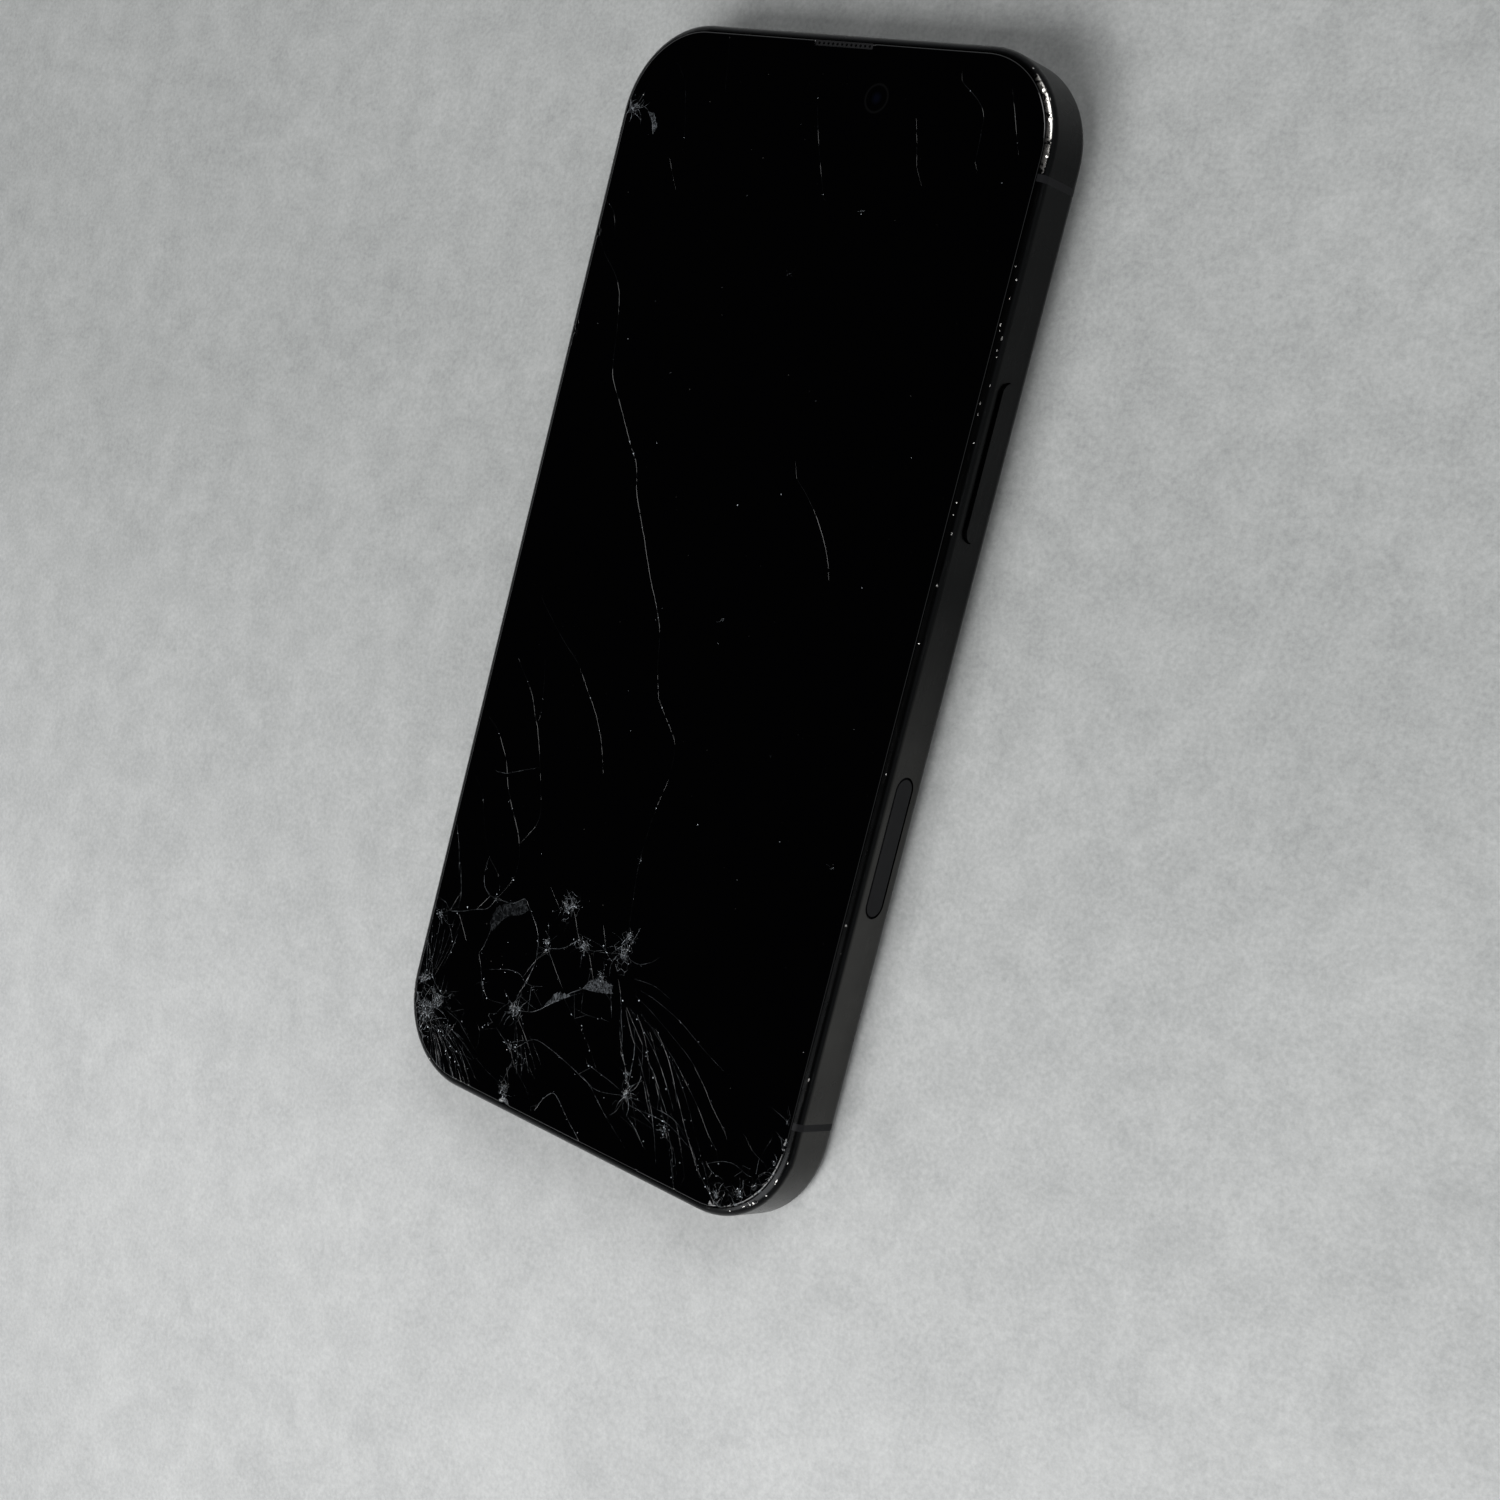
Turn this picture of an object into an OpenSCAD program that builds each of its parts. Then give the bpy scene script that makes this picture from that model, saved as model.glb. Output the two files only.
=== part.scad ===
// A flat-sided slab phone with a shattered cover glass.
// X runs to the right as the screen is read, Y to the top edge, Z out of the screen.
// The origin lies under the middle of the body, level with the camera rings that it rests on.

/* [Body] */
// Width across the flat sides
body_w = 71.6; // [71.4:0.1:73]
// Height from the bottom edge to the top edge
body_h = 147.6; // [147:0.1:150]
// Thickness between the two outer glass faces
body_t = 7.8; // [7.75:0.05:8.2]
// Radius of the four corners, seen from the front
corner_r = 12.5; // [12:0.1:13.2]
// Rounding of the band's long edges
edge_r = 1.2; // [0.9:0.05:1.3]
// Thickness of the band's wall
wall = 2.2; // [2.1:0.05:2.3]
// Width of the lip that the glass drops into
lip = 1.0; // [0.9:0.05:1.1]

/* [Glass] */
// Thickness of the front and rear glass
glass_t = 0.7; // [0.6:0.05:0.75]
// How far each glass stands out of the band
glass_proud = 0.15; // [0.1:0.05:0.25]
// Gap between a glass and the lip round it
glass_gap = 0.1; // [0.05:0.05:0.15]
// Rounding of a glass's outer edge
glass_edge_r = 0.25; // [0.15:0.05:0.35]
// Thickness of the sealing gaskets
gasket_t = 0.25; // [0.2:0.05:0.3]

/* [Rear cameras] */
// Side of the raised camera plateau
plateau_w = 32; // [31:0.5:33]
// Corner radius of the plateau
plateau_r = 8; // [7:0.5:9]
// Height of the plateau above the rear glass
plateau_h = 1.1; // [0.9:0.1:1.3]
// Height of the lens rings above the plateau
ring_h = 1.3; // [1.1:0.1:1.5]
// Outer radius of a lens ring
ring_r = 7.0; // [6.6:0.1:7.2]
// Distance of each lens from the plateau's middle, along X and along Y
lens_offset = 7.2; // [7.1:0.1:7.4]

/* [Display] */
// Width of the notch that holds the front camera
notch_w = 29; // [27:0.5:31]
// Depth of the notch below the panel's top edge
notch_d = 9.0; // [8.6:0.2:9.6]
// Radius of the front camera's window
front_camera_r = 1.75; // [1.4:0.05:1.9]

/* [Power and board] */
// Battery width
battery_w = 38.5; // [37:0.5:39]
// Battery height
battery_h = 84; // [80:1:85]
// Outer radius of the charging coil
coil_r = 21; // [19:0.5:22]
// Turns in the charging coil
coil_turns = 10; // [8:1:11]
// Magnets in the ring round the coil
magnet_count = 16; // [12:1:18]

/* [Buttons] */
// Length of the side button on the right
side_button_l = 19.5; // [18:0.5:20]
// Length of each volume button on the left
volume_button_l = 9.6; // [9:0.1:10]
// Height of every button cap, front to back
button_w = 2.8; // [2.6:0.1:3]
// How far the caps stand out of the band
button_proud = 0.4; // [0.3:0.05:0.5]
// Travel of a button
button_travel = 0.3; // [0.2:0.05:0.3]
// Travel of the mute switch, front to back
mute_travel = 1.3; // [1.2:0.1:1.3]
// Running gap round a cap in its pocket
cap_gap = 0.12; // [0.1:0.01:0.15]

/* [Sockets] */
// Width of the charging slot
port_w = 9.0; // [8.9:0.05:9.1]
// Height of the charging slot
port_h = 3.2; // [3.15:0.05:3.25]
// Radius of each speaker hole
grille_r = 0.75; // [0.6:0.05:0.8]
// Speaker holes to the right of the slot
speaker_holes = 5; // [4:1:5]
// Microphone holes to the left of the slot
microphone_holes = 3; // [2:1:4]

/* [Antennas] */
// Width of each plastic break in the band
break_w = 0.9; // [0.7:0.1:1.1]
// Distance of the breaks from the middle of the body
break_y = 58.6; // [57.5:0.1:59.5]
// Length of the antenna window in the right side
window_l = 17.9; // [17:0.1:18.5]
// Height of the antenna window, front to back
window_w = 3.5; // [3.3:0.1:3.7]
// Width of the groove round the window
window_groove = 0.3; // [0.2:0.05:0.4]

/* [Damage] */
// Width of the widest cracks at the surface
crack_w = 0.14; // [0.08:0.02:0.2]
// Depth of the cracks in the glass
crack_d = 0.3; // [0.15:0.05:0.4]
// Depth of the dents in the band
dent_d = 0.22; // [0.1:0.02:0.3]

/* [Hidden] */
$fn = 64;

// Levels, from the lens rings' underside up to the cover glass
rear_z = plateau_h + ring_h;
front_z = rear_z + body_t;
mid_z = rear_z + body_t / 2;
band_z0 = rear_z + glass_proud;
band_z1 = front_z - glass_proud;
rear_ledge = rear_z + glass_t + gasket_t;
front_ledge = front_z - glass_t - gasket_t;
glass_back = front_z - glass_t;
plate_z1 = front_ledge - 1.55;
plate_z0 = plate_z1 - 0.5;
shield_z0 = front_ledge - 1.25;
panel_z0 = shield_z0 + 0.3;
coil_z0 = rear_z + glass_t + 0.05;
battery_z0 = rear_ledge + 0.4;
battery_z1 = plate_z0 - 0.2;
board_z0 = battery_z0 + 0.85;
board_z1 = board_z0 + 0.7;
camera_z1 = plate_z0 - 0.75;

// Half sizes of the body, of the space inside the band and of the glass
half_w = body_w / 2;
half_h = body_h / 2;
inner_w = half_w - wall;
inner_h = half_h - wall;
inner_r = corner_r - wall;
glass_w = half_w - lip - glass_gap;
glass_h = half_h - lip - glass_gap;
glass_r = corner_r - lip - glass_gap;

// Places of the pieces that others meet
plateau_x = half_w - 18;
plateau_y = half_h - 18.4;
lens_a = [plateau_x + lens_offset, plateau_y + lens_offset];
lens_b = [plateau_x - lens_offset, plateau_y - lens_offset];
flash_at = [plateau_x - lens_offset, plateau_y + lens_offset];
rear_mic_at = [plateau_x + lens_offset, plateau_y - lens_offset];
front_camera_at = [8, half_h - 7.8];
earpiece_x = 0.6;
earpiece_l = 9.6;
window_y = -22.9;
side_button_y = 25;
volume_up_y = 35;
volume_down_y = 22.5;
mute_y = 47.2;
battery_x = inner_w - 3.1 - battery_w;
battery_y = -46;
coil_y = -4;
port_screw_x = 7.7;
grille_pitch = 2.6;
grille_x = 12.4;
ring_neck_r = ring_r - 1.0;
lens_window_r = ring_r - 1.5;
pocket_d = 1.75;
cap_back = 1.3;
stem_r = 0.5;
stem_gap = 0.06;
stem_tip = 2.5;
side_stems = [-6, 6];
mute_slot_l = 6.6;
mute_slot_w = 3.2;
tiny = 0.01;
eps = 1;

// Thickness of the ribbons, and the level at which they meet the board
ribbon_t = 0.15;
ribbon_z = board_z1 + 0.6;

// Board screws: the posts stand on the middle plate
board_left = -inner_w + 3.1;
board_right = battery_x - 1.6;
board_bottom = -38;
board_top = half_h - 13.8;
posts = [
    [board_left + 1.8, board_top - 1.8], [board_right - 1.8, board_top - 1.8],
    [board_left + 1.8, 12], [board_right - 1.8, 3],
    [board_left + 1.8, board_bottom + 1.8], [board_right - 1.8, board_bottom + 1.8]
];
bracket_posts = [[plateau_x - 14.3, plateau_y - 1], [plateau_x + 1.5, plateau_y - 14.2]];
post_r = 1.5;
screw_r = 0.5;
head_r = 1.1;
head_h = 0.45;

// Routes of the main cracks in the cover glass, from the body's middle
cracks = [
    [[-35, 44.5], [-32, 42], [-30, 40], [-28, 37.5], [-27, 34], [-26, 29], [-25, 25.5], [-22, 21.5],
     [-17, 15], [-15.5, 11], [-10, 1.5], [-6, -5], [-3.5, -13], [0, -17], [1.5, -19.5], [2, -24]],
    [[10.5, 18], [13, 16.2], [15, 14], [17, 11.5], [18.5, 9], [19.5, 6.8]],
    [[-28.5, -5.5], [-25.5, -8], [-19, -12.5], [-14, -17.5], [-11, -22], [-9.5, -25.5]],
    [[-30, -14.5], [-26, -18.5], [-23, -23.5], [-21, -28], [-19, -33.5], [-19.5, -36]],
    [[-33, -23.5], [-29.5, -26], [-26.8, -30], [-24.7, -34], [-21.5, -38.5], [-21, -43], [-23.3, -47.2]],
    [[-35, -27], [-31, -33.5], [-28, -39.5], [-26.5, -42], [-24, -44], [-23.3, -47.2]],
    [[-35, -49.8], [-31.5, -51], [-27, -49.5], [-24.5, -48.6], [-22.5, -46.8], [-18, -45.3],
     [-15, -48], [-13.8, -50], [-13.3, -52.5]],
    [[-15.3, -60], [-12.5, -59.5], [-10.3, -58.4], [-6.2, -55], [-2.7, -52], [1, -51.5]],
    [[-19.5, -62.3], [-14.8, -64.8], [-9.5, -62.5], [-3, -63.7], [1.5, -65.2], [6.5, -68.5], [14, -73]],
    [[5.5, -51.5], [12, -54], [17, -56.3], [20.5, -59], [25, -62.8]],
    [[4.8, -53.3], [10, -56], [15.5, -60.5], [19, -65], [22.5, -69], [26.5, -72]],
    [[8.5, -54], [14.5, -57.3], [20, -61.5], [24.5, -65.5]],
    [[5, -50.5], [13, -52], [18.3, -54.2], [22.5, -55.8]],
    [[2.8, -52], [4.8, -57], [7.2, -62], [7.8, -64.2], [16, -64.2], [20.2, -66.7]],
    [[-27, 68], [-25, 65.5], [-24, 62.5], [-22.7, 57]]
];

// Middle of each chip along the edge of the cover glass, and its radius
glass_chips = [
    [[-34.6, -64.5], 1.6], [[-31.8, -69.4], 1.3], [[-12.9, -72.9], 1.5], [[26.4, -72.4], 1.1],
    [[30.6, -69.8], 1.4], [[33.2, -66.6], 1.2], [[34.8, -61.2], 1.2], [[-34.9, 61.8], 1.5], [[-35, 44.6], 1.0]
];

// Middle of each dent along the front edge of the band, and its radius
band_dents = [
    [[33.3, 69.3], 1.7], [[35.2, 65.8], 1.4], [[35.9, 61.4], 1.1], [[32.6, -69.9], 1.3], [[-33, -69.4], 1.2]
];

// Flat outlines

module rounded_rect(w, h, r) {
    square([w - 2 * r, h], center = true);
    square([w, h - 2 * r], center = true);
    for (x = [-1, 1], y = [-1, 1])
        translate([x * (w / 2 - r), y * (h / 2 - r)]) circle(r);
}

module stadium(l, w) {
    square([l - w, w], center = true);
    for (x = [-1, 1])
        translate([x * (l - w) / 2, 0]) circle(w / 2);
}

// Solids built up from outlines

module plate(w, h, r, z0, z1) {
    translate([0, 0, z0]) linear_extrude(z1 - z0) rounded_rect(w, h, r);
}

module loop(w, h, r, width, z0, z1) {
    translate([0, 0, z0]) linear_extrude(z1 - z0) difference() {
        rounded_rect(w, h, r);
        rounded_rect(w - 2 * width, h - 2 * width, r - width);
    }
}

module block(x0, x1, y0, y1, z0, z1) {
    translate([x0, y0, z0]) cube([x1 - x0, y1 - y0, z1 - z0]);
}

// A block with rounded upright edges
module slab(x0, x1, y0, y1, z0, z1, r) {
    translate([(x0 + x1) / 2, (y0 + y1) / 2, 0]) plate(x1 - x0, y1 - y0, r, z0, z1);
}

// Carries a profile round a rounded rectangle. Its X is measured from a corner's axis.
module carry_round(w, h, r) {
    for (side = [0 : 3]) {
        run = side % 2 == 0 ? h - 2 * r : w - 2 * r;
        reach = side % 2 == 0 ? w / 2 - r : h / 2 - r;
        rotate([0, 0, 90 * side]) {
            translate([reach, run / 2, 0]) rotate([90, 0, 0]) linear_extrude(run) children();
            translate([reach, run / 2, 0]) rotate_extrude(angle = 90) children();
        }
    }
}

// A stadium-shaped bar that lies along Y and runs along X from x0 to x1
module side_pill(x0, x1, y, z, l, w) {
    translate([x0, y, z]) rotate([90, 0, 90]) linear_extrude(x1 - x0) stadium(l, w);
}

// A stadium-shaped bar that lies along X and runs along Y from y0 to y1
module end_pill(x, y0, y1, z, l, w) {
    translate([x, y1, z]) rotate([90, 0, 0]) linear_extrude(y1 - y0) stadium(l, w);
}

module rod_x(x0, x1, y, z, r) {
    translate([x0, y, z]) rotate([0, 90, 0]) cylinder(h = x1 - x0, r = r);
}

module rod_y(x, y0, y1, z, r) {
    translate([x, y1, z]) rotate([90, 0, 0]) cylinder(h = y1 - y0, r = r);
}

module rod_z(at, z0, z1, r) {
    translate([at[0], at[1], z0]) cylinder(h = z1 - z0, r = r);
}

// Shallow scoop left where a flake has broken away from a face at height z
module scoop(at, r, depth, z) {
    translate([at[0], at[1], z + r - depth]) sphere(r);
}

// Section of the band: a flat outer face, two rounded edges and a rebate for each glass
module band_section() {
    difference() {
        union() {
            translate([corner_r - wall, band_z0]) square([wall - edge_r, band_z1 - band_z0]);
            translate([corner_r - wall, band_z0 + edge_r])
                square([wall, band_z1 - band_z0 - 2 * edge_r]);
            for (z = [band_z0 + edge_r, band_z1 - edge_r])
                translate([corner_r - edge_r, z]) circle(edge_r);
        }
        translate([corner_r - wall - eps, band_z0]) square([eps, band_z1 - band_z0]);
        translate([corner_r - wall - eps, front_ledge]) square([wall - lip + eps, eps + 2]);
        translate([corner_r - wall - eps, rear_ledge - eps - 2]) square([wall - lip + eps, eps + 2]);
    }
}

module band() {
    carry_round(body_w, body_h, corner_r) band_section();
}

// The four gaps that split the band into antenna lengths
module break_slots() {
    for (x = [-1, 1], y = [-1, 1])
        translate([x * (half_w - wall / 2), y * break_y, mid_z])
            cube([wall + 0.6, break_w, body_t + 2], center = true);
}

// Pockets for the caps and the switch, cut in from the band's outer faces
module side_openings() {
    gap = 2 * cap_gap;
    side_pill(half_w - pocket_d, half_w + eps, side_button_y, mid_z, side_button_l + gap, button_w + gap);
    for (dy = side_stems)
        rod_x(inner_w - eps, half_w, side_button_y + dy, mid_z, stem_r + stem_gap);
    for (y = [volume_up_y, volume_down_y]) {
        side_pill(-half_w - eps, -half_w + pocket_d, y, mid_z, volume_button_l + gap, button_w + gap);
        rod_x(-half_w, -inner_w + eps, y, mid_z, stem_r + stem_gap);
    }
    side_pill(-half_w - eps, -inner_w + eps, mute_y, mid_z, mute_slot_l, mute_slot_w);
    side_pill(half_w - 1.4, half_w + eps, window_y, mid_z, window_l, window_w);
}

// Charging slot, its two screws, and the rows of small holes in the bottom wall
module bottom_openings() {
    end_pill(0, -half_h - eps, -inner_h + eps, mid_z, port_w, port_h);
    for (x = [-port_screw_x, port_screw_x]) {
        rod_y(x, -half_h - eps, -half_h + 0.8, mid_z, 0.85);
        rod_y(x, -half_h, -inner_h + eps, mid_z, screw_r);
    }
    for (i = [0 : speaker_holes - 1])
        rod_y(grille_x + i * grille_pitch, -half_h - eps, -inner_h + eps, mid_z, grille_r);
    for (i = [0 : microphone_holes - 1])
        rod_y(-grille_x - i * grille_pitch, -half_h - eps, -inner_h + eps, mid_z, grille_r);
}

// Windows in the middle plate: the charging socket, the display's ribbon and the notch's pieces
module plate_openings() {
    slab(-6.5, 6.5, -inner_h - 2, -61.5, plate_z0 - eps, plate_z1 + eps, 1);
    slab(-inner_w + 0.9, -inner_w + 2.7, 14, 26, plate_z0 - eps, plate_z1 + eps, 0.8);
    slab(-13.2, 13.2, half_h - 12.2, inner_h - 0.1, plate_z0 - eps, plate_z1 + eps, 1);
    slab(-24, -16, -53.5, -46, plate_z0 - eps, plate_z1 + eps, 2);
    slab(12, 24, -30, -14, plate_z0 - eps, plate_z1 + eps, 3);
}

// Posts for the inner screws, and the low walls round the battery
module plate_features() {
    for (p = posts)
        rod_z(p, board_z1, plate_z0 + tiny, post_r);
    for (p = bracket_posts)
        rod_z(p, plate_z0 - 1.4, plate_z0 + tiny, post_r);
    wall_z0 = battery_z1 - 1.6;
    block(battery_x - 1.1, battery_x - 0.4, battery_y, battery_y + battery_h - 6, wall_z0, plate_z0 + tiny);
    block(battery_x, inner_w - 4, battery_y - 1.2, battery_y - 0.5, wall_z0, plate_z0 + tiny);
}

module frame() {
    color([0.07, 0.07, 0.075]) difference() {
        union() {
            band();
            plate(2 * inner_w + 0.6, 2 * inner_h + 0.6, inner_r + 0.3, plate_z0, plate_z1);
            plate_features();
        }
        break_slots();
        side_openings();
        bottom_openings();
        plate_openings();
        block(earpiece_x - 4.9, earpiece_x + 4.9, inner_h - eps, inner_h + 0.9, mid_z + 1, front_ledge + eps);
        for (p = posts)
            rod_z(p, board_z1 - eps, plate_z0 - 0.2, screw_r);
        for (p = bracket_posts)
            rod_z(p, plate_z0 - 2, plate_z0 - 0.2, screw_r);
        for (d = band_dents)
            scoop(d[0], d[1], dent_d, band_z1 - 0.25);
    }
}

// Plastic that fills the gaps and stays flush with the band
module antenna_breaks() {
    color([0.13, 0.13, 0.135]) intersection() {
        band();
        for (x = [-1, 1], y = [-1, 1])
            translate([x * half_w, y * break_y, mid_z])
                cube([2 * wall + 2, break_w, body_t + 2], center = true);
    }
}

// A fixed flush insert, with a narrow groove left round its raised top
module antenna_window() {
    color([0.05, 0.05, 0.055]) {
        side_pill(half_w - 1.4, half_w - 0.6, window_y, mid_z, window_l, window_w);
        side_pill(half_w - 0.6 - tiny, half_w, window_y, mid_z, window_l - 2 * window_groove,
            window_w - 2 * window_groove);
    }
}

// Cover glass, its cracks and the flakes lost from its edge

module glass_section(outer_z, inner_z) {
    way = outer_z > inner_z ? 1 : -1;
    low = min(outer_z - way * glass_edge_r, inner_z);
    translate([glass_r - 1, low]) square([1, abs(outer_z - inner_z) - glass_edge_r]);
    translate([glass_r - 1, min(outer_z, inner_z)])
        square([1 - glass_edge_r, abs(outer_z - inner_z)]);
    translate([glass_r - glass_edge_r, outer_z - way * glass_edge_r]) circle(glass_edge_r);
}

module glass_sheet(outer_z, inner_z) {
    carry_round(2 * glass_w, 2 * glass_h, glass_r) glass_section(outer_z, inner_z);
    plate(2 * glass_w - 1.6, 2 * glass_h - 1.6, glass_r - 0.8, min(outer_z, inner_z), max(outer_z, inner_z));
}

// A point beside a route, at a distance to the left of the way it runs
function beside(route, i, d) =
    let (a = route[max(i - 1, 0)], b = route[min(i + 1, len(route) - 1)], u = (b - a) / norm(b - a))
    route[i] + d * [-u[1], u[0]];

// A crack is widest at its middle and closes up towards its ends
function crack_half(route, i) = crack_w / 2 * (0.35 + 0.65 * sin(180 * i / (len(route) - 1)));

module crack(route) {
    n = len(route) - 1;
    translate([0, 0, front_z - crack_d]) linear_extrude(crack_d + eps)
        polygon(concat([for (i = [0 : n]) beside(route, i, crack_half(route, i))],
            [for (i = [n : -1 : 0]) beside(route, i, -crack_half(route, i))]));
}

module front_glass() {
    color([0.02, 0.02, 0.025]) difference() {
        glass_sheet(front_z, glass_back);
        block(earpiece_x - earpiece_l / 2, earpiece_x + earpiece_l / 2, glass_h - 0.8, glass_h + eps,
            glass_back - eps, front_z + eps);
        for (route = cracks)
            crack(route);
        for (chip = glass_chips)
            scoop(chip[0], chip[1], 0.35, front_z);
    }
}

module display_gasket() {
    color([0.12, 0.12, 0.12]) difference() {
        loop(2 * glass_w - 0.2, 2 * glass_h - 0.2, glass_r - 0.1, 0.9, front_ledge, glass_back);
        block(earpiece_x - 4.9, earpiece_x + 4.9, glass_h - 1.4, glass_h + eps,
            front_ledge - eps, glass_back + eps);
    }
}

// Black plastic surround that is bonded to the cover glass and holds the panel
module display_carrier() {
    color([0.1, 0.1, 0.1]) difference() {
        loop(2 * inner_w - 0.2, 2 * inner_h - 0.2, inner_r - 0.1, 0.55, shield_z0, glass_back);
        block(-notch_w / 2, notch_w / 2, inner_h - 1.5, inner_h + eps, shield_z0 - eps, glass_back + eps);
    }
}

module notch_cut(z0, z1, spare) {
    top = inner_h - 1.2;
    slab(-notch_w / 2 - spare, notch_w / 2 + spare, top - notch_d - spare, top + 8, z0, z1, 3);
}

module display_panel() {
    color([0.015, 0.015, 0.02]) difference() {
        plate(2 * inner_w - 1.4, 2 * inner_h - 2.4, inner_r - 1, panel_z0, glass_back);
        notch_cut(panel_z0 - eps, glass_back + eps, 0);
    }
}

module display_shield() {
    color([0.55, 0.56, 0.58]) difference() {
        plate(2 * inner_w - 2, 2 * inner_h - 3, inner_r - 1.2, shield_z0, panel_z0 - 0.05);
        notch_cut(shield_z0 - eps, panel_z0 + eps, 0.5);
    }
}

// Flat ribbon that drops from the back of the panel, through the middle plate, to the board
module display_flex() {
    drop_x = -inner_w + 1.7;
    high = shield_z0 - 0.2;
    color([0.75, 0.45, 0.12]) {
        block(drop_x, drop_x + 12, 15, 25, high, high + ribbon_t);
        block(drop_x, drop_x + ribbon_t, 15, 25, ribbon_z, high + ribbon_t);
        block(drop_x, board_left + 3, 15, 25, ribbon_z, ribbon_z + ribbon_t);
    }
}

module earpiece_mesh() {
    color([0.2, 0.2, 0.2]) difference() {
        block(earpiece_x - earpiece_l / 2 + 0.05, earpiece_x + earpiece_l / 2 - 0.05, glass_h - 0.75, glass_h,
            glass_back + 0.05, front_z - 0.12);
        for (i = [0 : 11])
            rod_z([earpiece_x - 4.18 + i * 0.76, glass_h - 0.37], glass_back - eps, front_z, 0.2);
    }
}

// Rear glass with its camera plateau: one piece of glass

module plateau_section() {
    round_r = 0.6;
    translate([plateau_r - 2, rear_z - plateau_h + round_r]) square([2, plateau_h - round_r + 0.2]);
    translate([plateau_r - 2, rear_z - plateau_h]) square([2 - round_r, plateau_h + 0.2]);
    translate([plateau_r - round_r, rear_z - plateau_h + round_r]) circle(round_r);
}

module rear_glass() {
    color([0.06, 0.06, 0.065]) difference() {
        union() {
            glass_sheet(rear_z, rear_z + glass_t);
            translate([plateau_x, plateau_y, 0]) {
                carry_round(plateau_w, plateau_w, plateau_r) plateau_section();
                plate(plateau_w - 3, plateau_w - 3, plateau_r - 1.5, rear_z - plateau_h, rear_z + 0.2);
            }
        }
        for (at = [lens_a, lens_b])
            rod_z(at, -eps, rear_z + glass_t + eps, ring_neck_r + 0.05);
        rod_z(flash_at, -eps, rear_z + glass_t + eps, 2.75);
        rod_z(rear_mic_at, -eps, rear_z + glass_t + eps, 0.6);
    }
}

module rear_gasket() {
    color([0.12, 0.12, 0.12])
        loop(2 * glass_w - 0.2, 2 * glass_h - 0.2, glass_r - 0.1, 0.9, rear_z + glass_t, rear_ledge);
}

// Rear cameras

module lens_ring(at) {
    translate([at[0], at[1], 0]) rotate_extrude() polygon([
        [lens_window_r + 0.05, 0.25], [ring_r - 0.9, 0], [ring_r - 0.3, 0], [ring_r, 0.35], [ring_r, ring_h],
        [ring_neck_r, ring_h], [ring_neck_r, rear_z + glass_t], [lens_window_r - 0.4, rear_z + glass_t],
        [lens_window_r - 0.4, 0.95], [lens_window_r + 0.05, 0.95]
    ]);
}

module lens_rings() {
    color([0.16, 0.16, 0.17]) for (at = [lens_a, lens_b])
        lens_ring(at);
}

module lens_windows() {
    color([0.1, 0.12, 0.16]) for (at = [lens_a, lens_b])
        rod_z(at, 0.3, 0.95, lens_window_r);
}

module flash_lens() {
    color([0.95, 0.93, 0.8]) {
        rod_z(flash_at, rear_z - plateau_h + 0.05, rear_z - 0.3, 2.7);
        rod_z(flash_at, rear_z - 0.3 - tiny, rear_z + glass_t, 2.2);
    }
}

// A stepped barrel looks out through the glass, and a square body holds the sensor
module camera_module(at, barrel_r, body_s, body_z1) {
    difference() {
        union() {
            rod_z(at, 1.2, rear_ledge + 0.3, barrel_r);
            slab(at[0] - body_s / 2, at[0] + body_s / 2, at[1] - body_s / 2, at[1] + body_s / 2,
                rear_ledge + 0.3 - tiny, body_z1, 0.8);
        }
        translate([at[0], at[1], 1.2 - tiny]) cylinder(h = 0.9, r1 = barrel_r - 0.7, r2 = barrel_r - 2.4);
        translate([at[0], at[1], 2.1 - 2 * tiny]) cylinder(h = 0.8, r = 1.6);
    }
}

module wide_camera() {
    color([0.08, 0.08, 0.1]) camera_module(lens_a, 4.9, 11, camera_z1);
}

module ultrawide_camera() {
    color([0.08, 0.08, 0.1]) camera_module(lens_b, 4.6, 10.6, camera_z1);
}

// Thin steel plate that holds both camera bodies, with a screw at each ear
module camera_bracket() {
    z0 = camera_z1 + 0.05;
    z1 = z0 + 0.25;
    color([0.6, 0.6, 0.62]) difference() {
        union() {
            slab(lens_a[0] - 5.3, lens_a[0] + 5.3, lens_a[1] - 5.3, lens_a[1] + 5.3, z0, z1, 1);
            slab(lens_b[0] - 5.1, lens_b[0] + 5.1, lens_b[1] - 5.1, lens_b[1] + 5.1, z0, z1, 1);
            block(lens_b[0] - 1, lens_a[0], lens_b[1] + 3, lens_a[1] - 3, z0, z1);
            block(bracket_posts[0][0] + 1.6, lens_b[0],
                bracket_posts[0][1] - 1, bracket_posts[0][1] + 1, z0, z1);
            block(bracket_posts[1][0] - 1, bracket_posts[1][0] + 1, bracket_posts[1][1] + 1.6,
                lens_a[1] - 3, z0, z1);
        }
        rod_z(lens_a, z0 - eps, z1 + eps, 3);
        rod_z(lens_b, z0 - eps, z1 + eps, 3);
    }
}

module flash_module() {
    color([0.85, 0.8, 0.45]) {
        slab(flash_at[0] - 2.6, flash_at[0] + 2.6, flash_at[1] - 2.6, flash_at[1] + 2.6,
            rear_z + glass_t + 0.05, rear_ledge + 0.7, 0.5);
        rod_z([flash_at[0], flash_at[1] - 3.6], rear_z + glass_t + 0.1, rear_ledge + 0.7, 0.9);
    }
}

// Charging and power

// A point on a flat spiral that opens by pitch on each turn
function spiral(turn, r0, pitch) = (r0 + pitch * turn) * [cos(360 * turn), sin(360 * turn)];

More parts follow.
